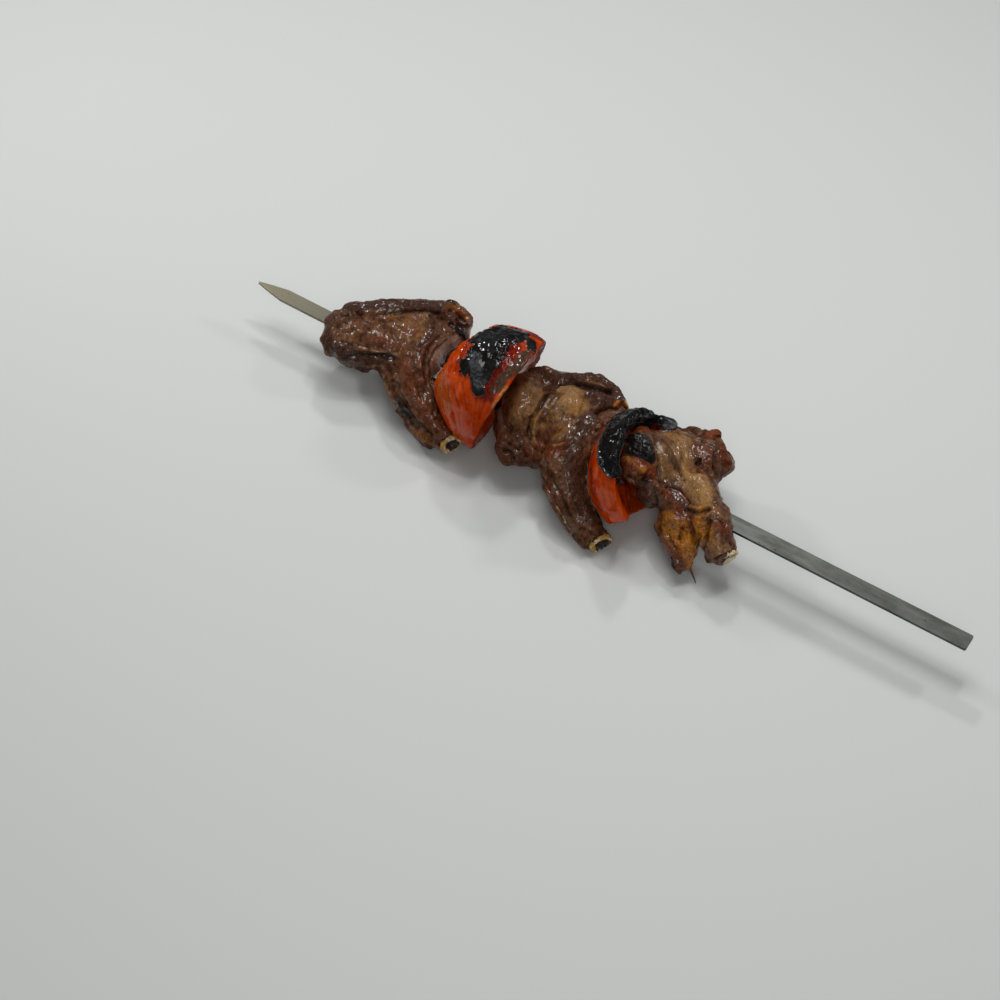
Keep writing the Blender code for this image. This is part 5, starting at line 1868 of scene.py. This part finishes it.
TOMATO_2 = TomatoHalf(
    node="tomato_2",
    middle=(30.0, -1.7, 28.8),
    way=(-0.92, -0.19, -0.34),
    radius=30.0,
    grain=(0.3, -0.5, -0.8),
    swell=3.2,
    burnt_above=51.5,
    reliefs=strokes(
        (Form.CREASE, 0.8, -0.68, (26.6, -11.9, 24.6), (29.9, -14.9, 20.5), (34.3, -18.6, 16.9)),
        (Form.RIDGE, 1, 0.3, (26.6, -14.7, 27.5), (29.9, -17.8, 23.6), (34.6, -22, 20.1)),
    ),
    paints=strokes(
        (Tone.CHAR, 6, 1, (15.4, 1.1, 54.5), (17.5, -7.4, 55.2), (17.7, -12.6, 53.5)),
        (Tone.CHAR, 5, 1, (18.5, -1.7, 56.3), (22.2, -10.2, 56.1), (24.3, -15.9, 54.1),
            (25.3, -18.2, 49)),
        (Tone.CHAR, 3.6, 1, (16.4, -14, 51.9), (19.8, -19.2, 50.4), (25.7, -22.6, 49.8)),
        (Tone.CHAR, 4.5, 1, (12.6, 7.2, 50.7), (16.4, 10.9, 52.1), (19.5, 16.3, 48.9),
            (21.4, 24.2, 39.9)),
        (Tone.CHAR, 4.5, 1, (9.8, 3.5, 48.6), (11.8, 9, 49.2), (15.8, 14.8, 49.2)),
        (Tone.CHAR, 4, 1, (13.5, 6.9, 51.7), (13.2, 11.3, 49.3), (16, 10.2, 52.3)),
        (Tone.CHAR, 2.6, 0.8, (19.1, 6.9, 48.4), (19.5, 14.5, 41.9), (20.5, 18.4, 38.4)),
        (Tone.DEEP, 6, 1, (20.3, -0.9, 55.6), (19.2, 12.3, 43.1), (21.9, 21.7, 34.5)),
        (Tone.DEEP, 4, 1, (19.4, 0.2, 46.9), (19.9, -1.7, 38.9), (21.7, -4.6, 32.6),
            (24.6, -4.8, 24.3)),
        (Tone.OLIVE, 3, 0.8, (19.3, 1.6, 47.5), (19.6, -0.8, 40.8), (20.9, -2.9, 34.6)),
        (Tone.OLIVE, 3, 1, (10.8, 2.6, 50), (9.8, -5.5, 48.2), (7.8, -8.1, 42.3)),
        (Tone.DEEP, 3, 0.8, (7.1, -7.8, 40), (8.8, -14, 37.5)),
        (Tone.DEEP, 4, 0.6, (11.3, -14.9, 44.3), (13.8, -21.1, 39.9), (18, -26.2, 35.7),
            (24.6, -30.2, 29.7)),
        (Tone.ORANGE, 2.4, 0.8, (28.7, -8.2, 17.9), (32.8, -12.1, 14.1)),
        (Tone.ORANGE, 6, 0.3, (27, -28.9, 40.7), (32.2, -30.6, 35.7)),
    ),
)

SKIN_FLAP = PeeledSkin(
    name="tomato_2_skin_flap",
    seed=81.0,
    shine=0.32,
    arch=2.0,
    left=(
        (9.1, 4.9, 48), (11.3, -6, 51.5), (11.6, -13.2, 49), (15.8, -19.5, 50),
        (20, -24.2, 49.5), (26.8, -27.5, 50.4), (27.5, -17.5, 34.1),
    ),
    right=(
        (19.8, 1.1, 59), (21.3, -2.6, 54.1), (21.9, -5.6, 49.3), (23, -9.8, 47.1),
        (25.4, -15.8, 46.6), (29.1, -19.8, 45), (28, -15.8, 33.6),
    ),
)

SKIN_CURL = PeeledSkin(
    name="tomato_2_skin_curl",
    seed=91.0,
    shine=0.3,
    crumple=0.6,
    left=(
        (15.2, 4.4, 54.4), (18, 8, 54.8), (19.8, 15.6, 49.3), (21.8, 23.5, 42),
        (24.7, 28.2, 38), (27.6, 31.1, 34.2), (30, 32.1, 30.8),
    ),
    right=(
        (21.2, -3.3, 59.2), (20, 7.7, 49.5), (21, 15.8, 42.6), (23, 22.1, 36.7),
        (28.5, 19.6, 40.7), (32.2, 18.8, 41.3), (33.9, 22.4, 40.2),
    ),
)

FAT_SPIKE = CrispSpike(
    name="chop_3_fat_spike",
    path=(
        (69.8, -23.2, 11), (71.8, -22.9, 6), (73.7, -23.5, 3.7), (75.8, -24.7, 1.7),
    ),
)

BONES = (
    RibBone("chop_1_bone", end=(-62.0, -24.7, 9.0), way=(8.0, -3.0, -1.5), marrow=3.1,
            marrow_shift=(0.2, 0.8, -0.8)),
    RibBone("chop_2_bone", end=(30.0, -33.7, 6.0), way=(5.0, -3.0, -1.5), marrow=3.7,
            marrow_shift=(0.3, 1.3, -1.7)),
    RibBone("chop_3_bone", end=(87.0, -16.7, 18.0), way=(7.0, -4.0, -4.0), marrow=1.9,
            stain=0.8),
)


def main() -> None:
    """Dress the shashlik and light it."""
    logging.basicConfig(level=logging.INFO, format="%(name)s: %(message)s")
    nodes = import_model()["nodes"]
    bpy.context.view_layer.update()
    lamb, tomato, bone = LAMB.make(), TOMATO.make(), RIB_BONE.make()
    Skewer().build(FlatSteel().make())
    for material, pieces in ((lamb, (CHOP_1, CHOP_2, CHOP_3)), (tomato, (TOMATO_1, TOMATO_2)),
                             (bone, BONES)):
        for piece in pieces:
            piece.build(material, nodes)
    SKIN_FLAP.build(tomato)
    SKIN_CURL.build(tomato)
    FAT_SPIKE.build(lamb)
    Studio().build()
    bpy.context.scene.view_settings.view_transform = "Standard"


if __name__ == "__main__":
    main()
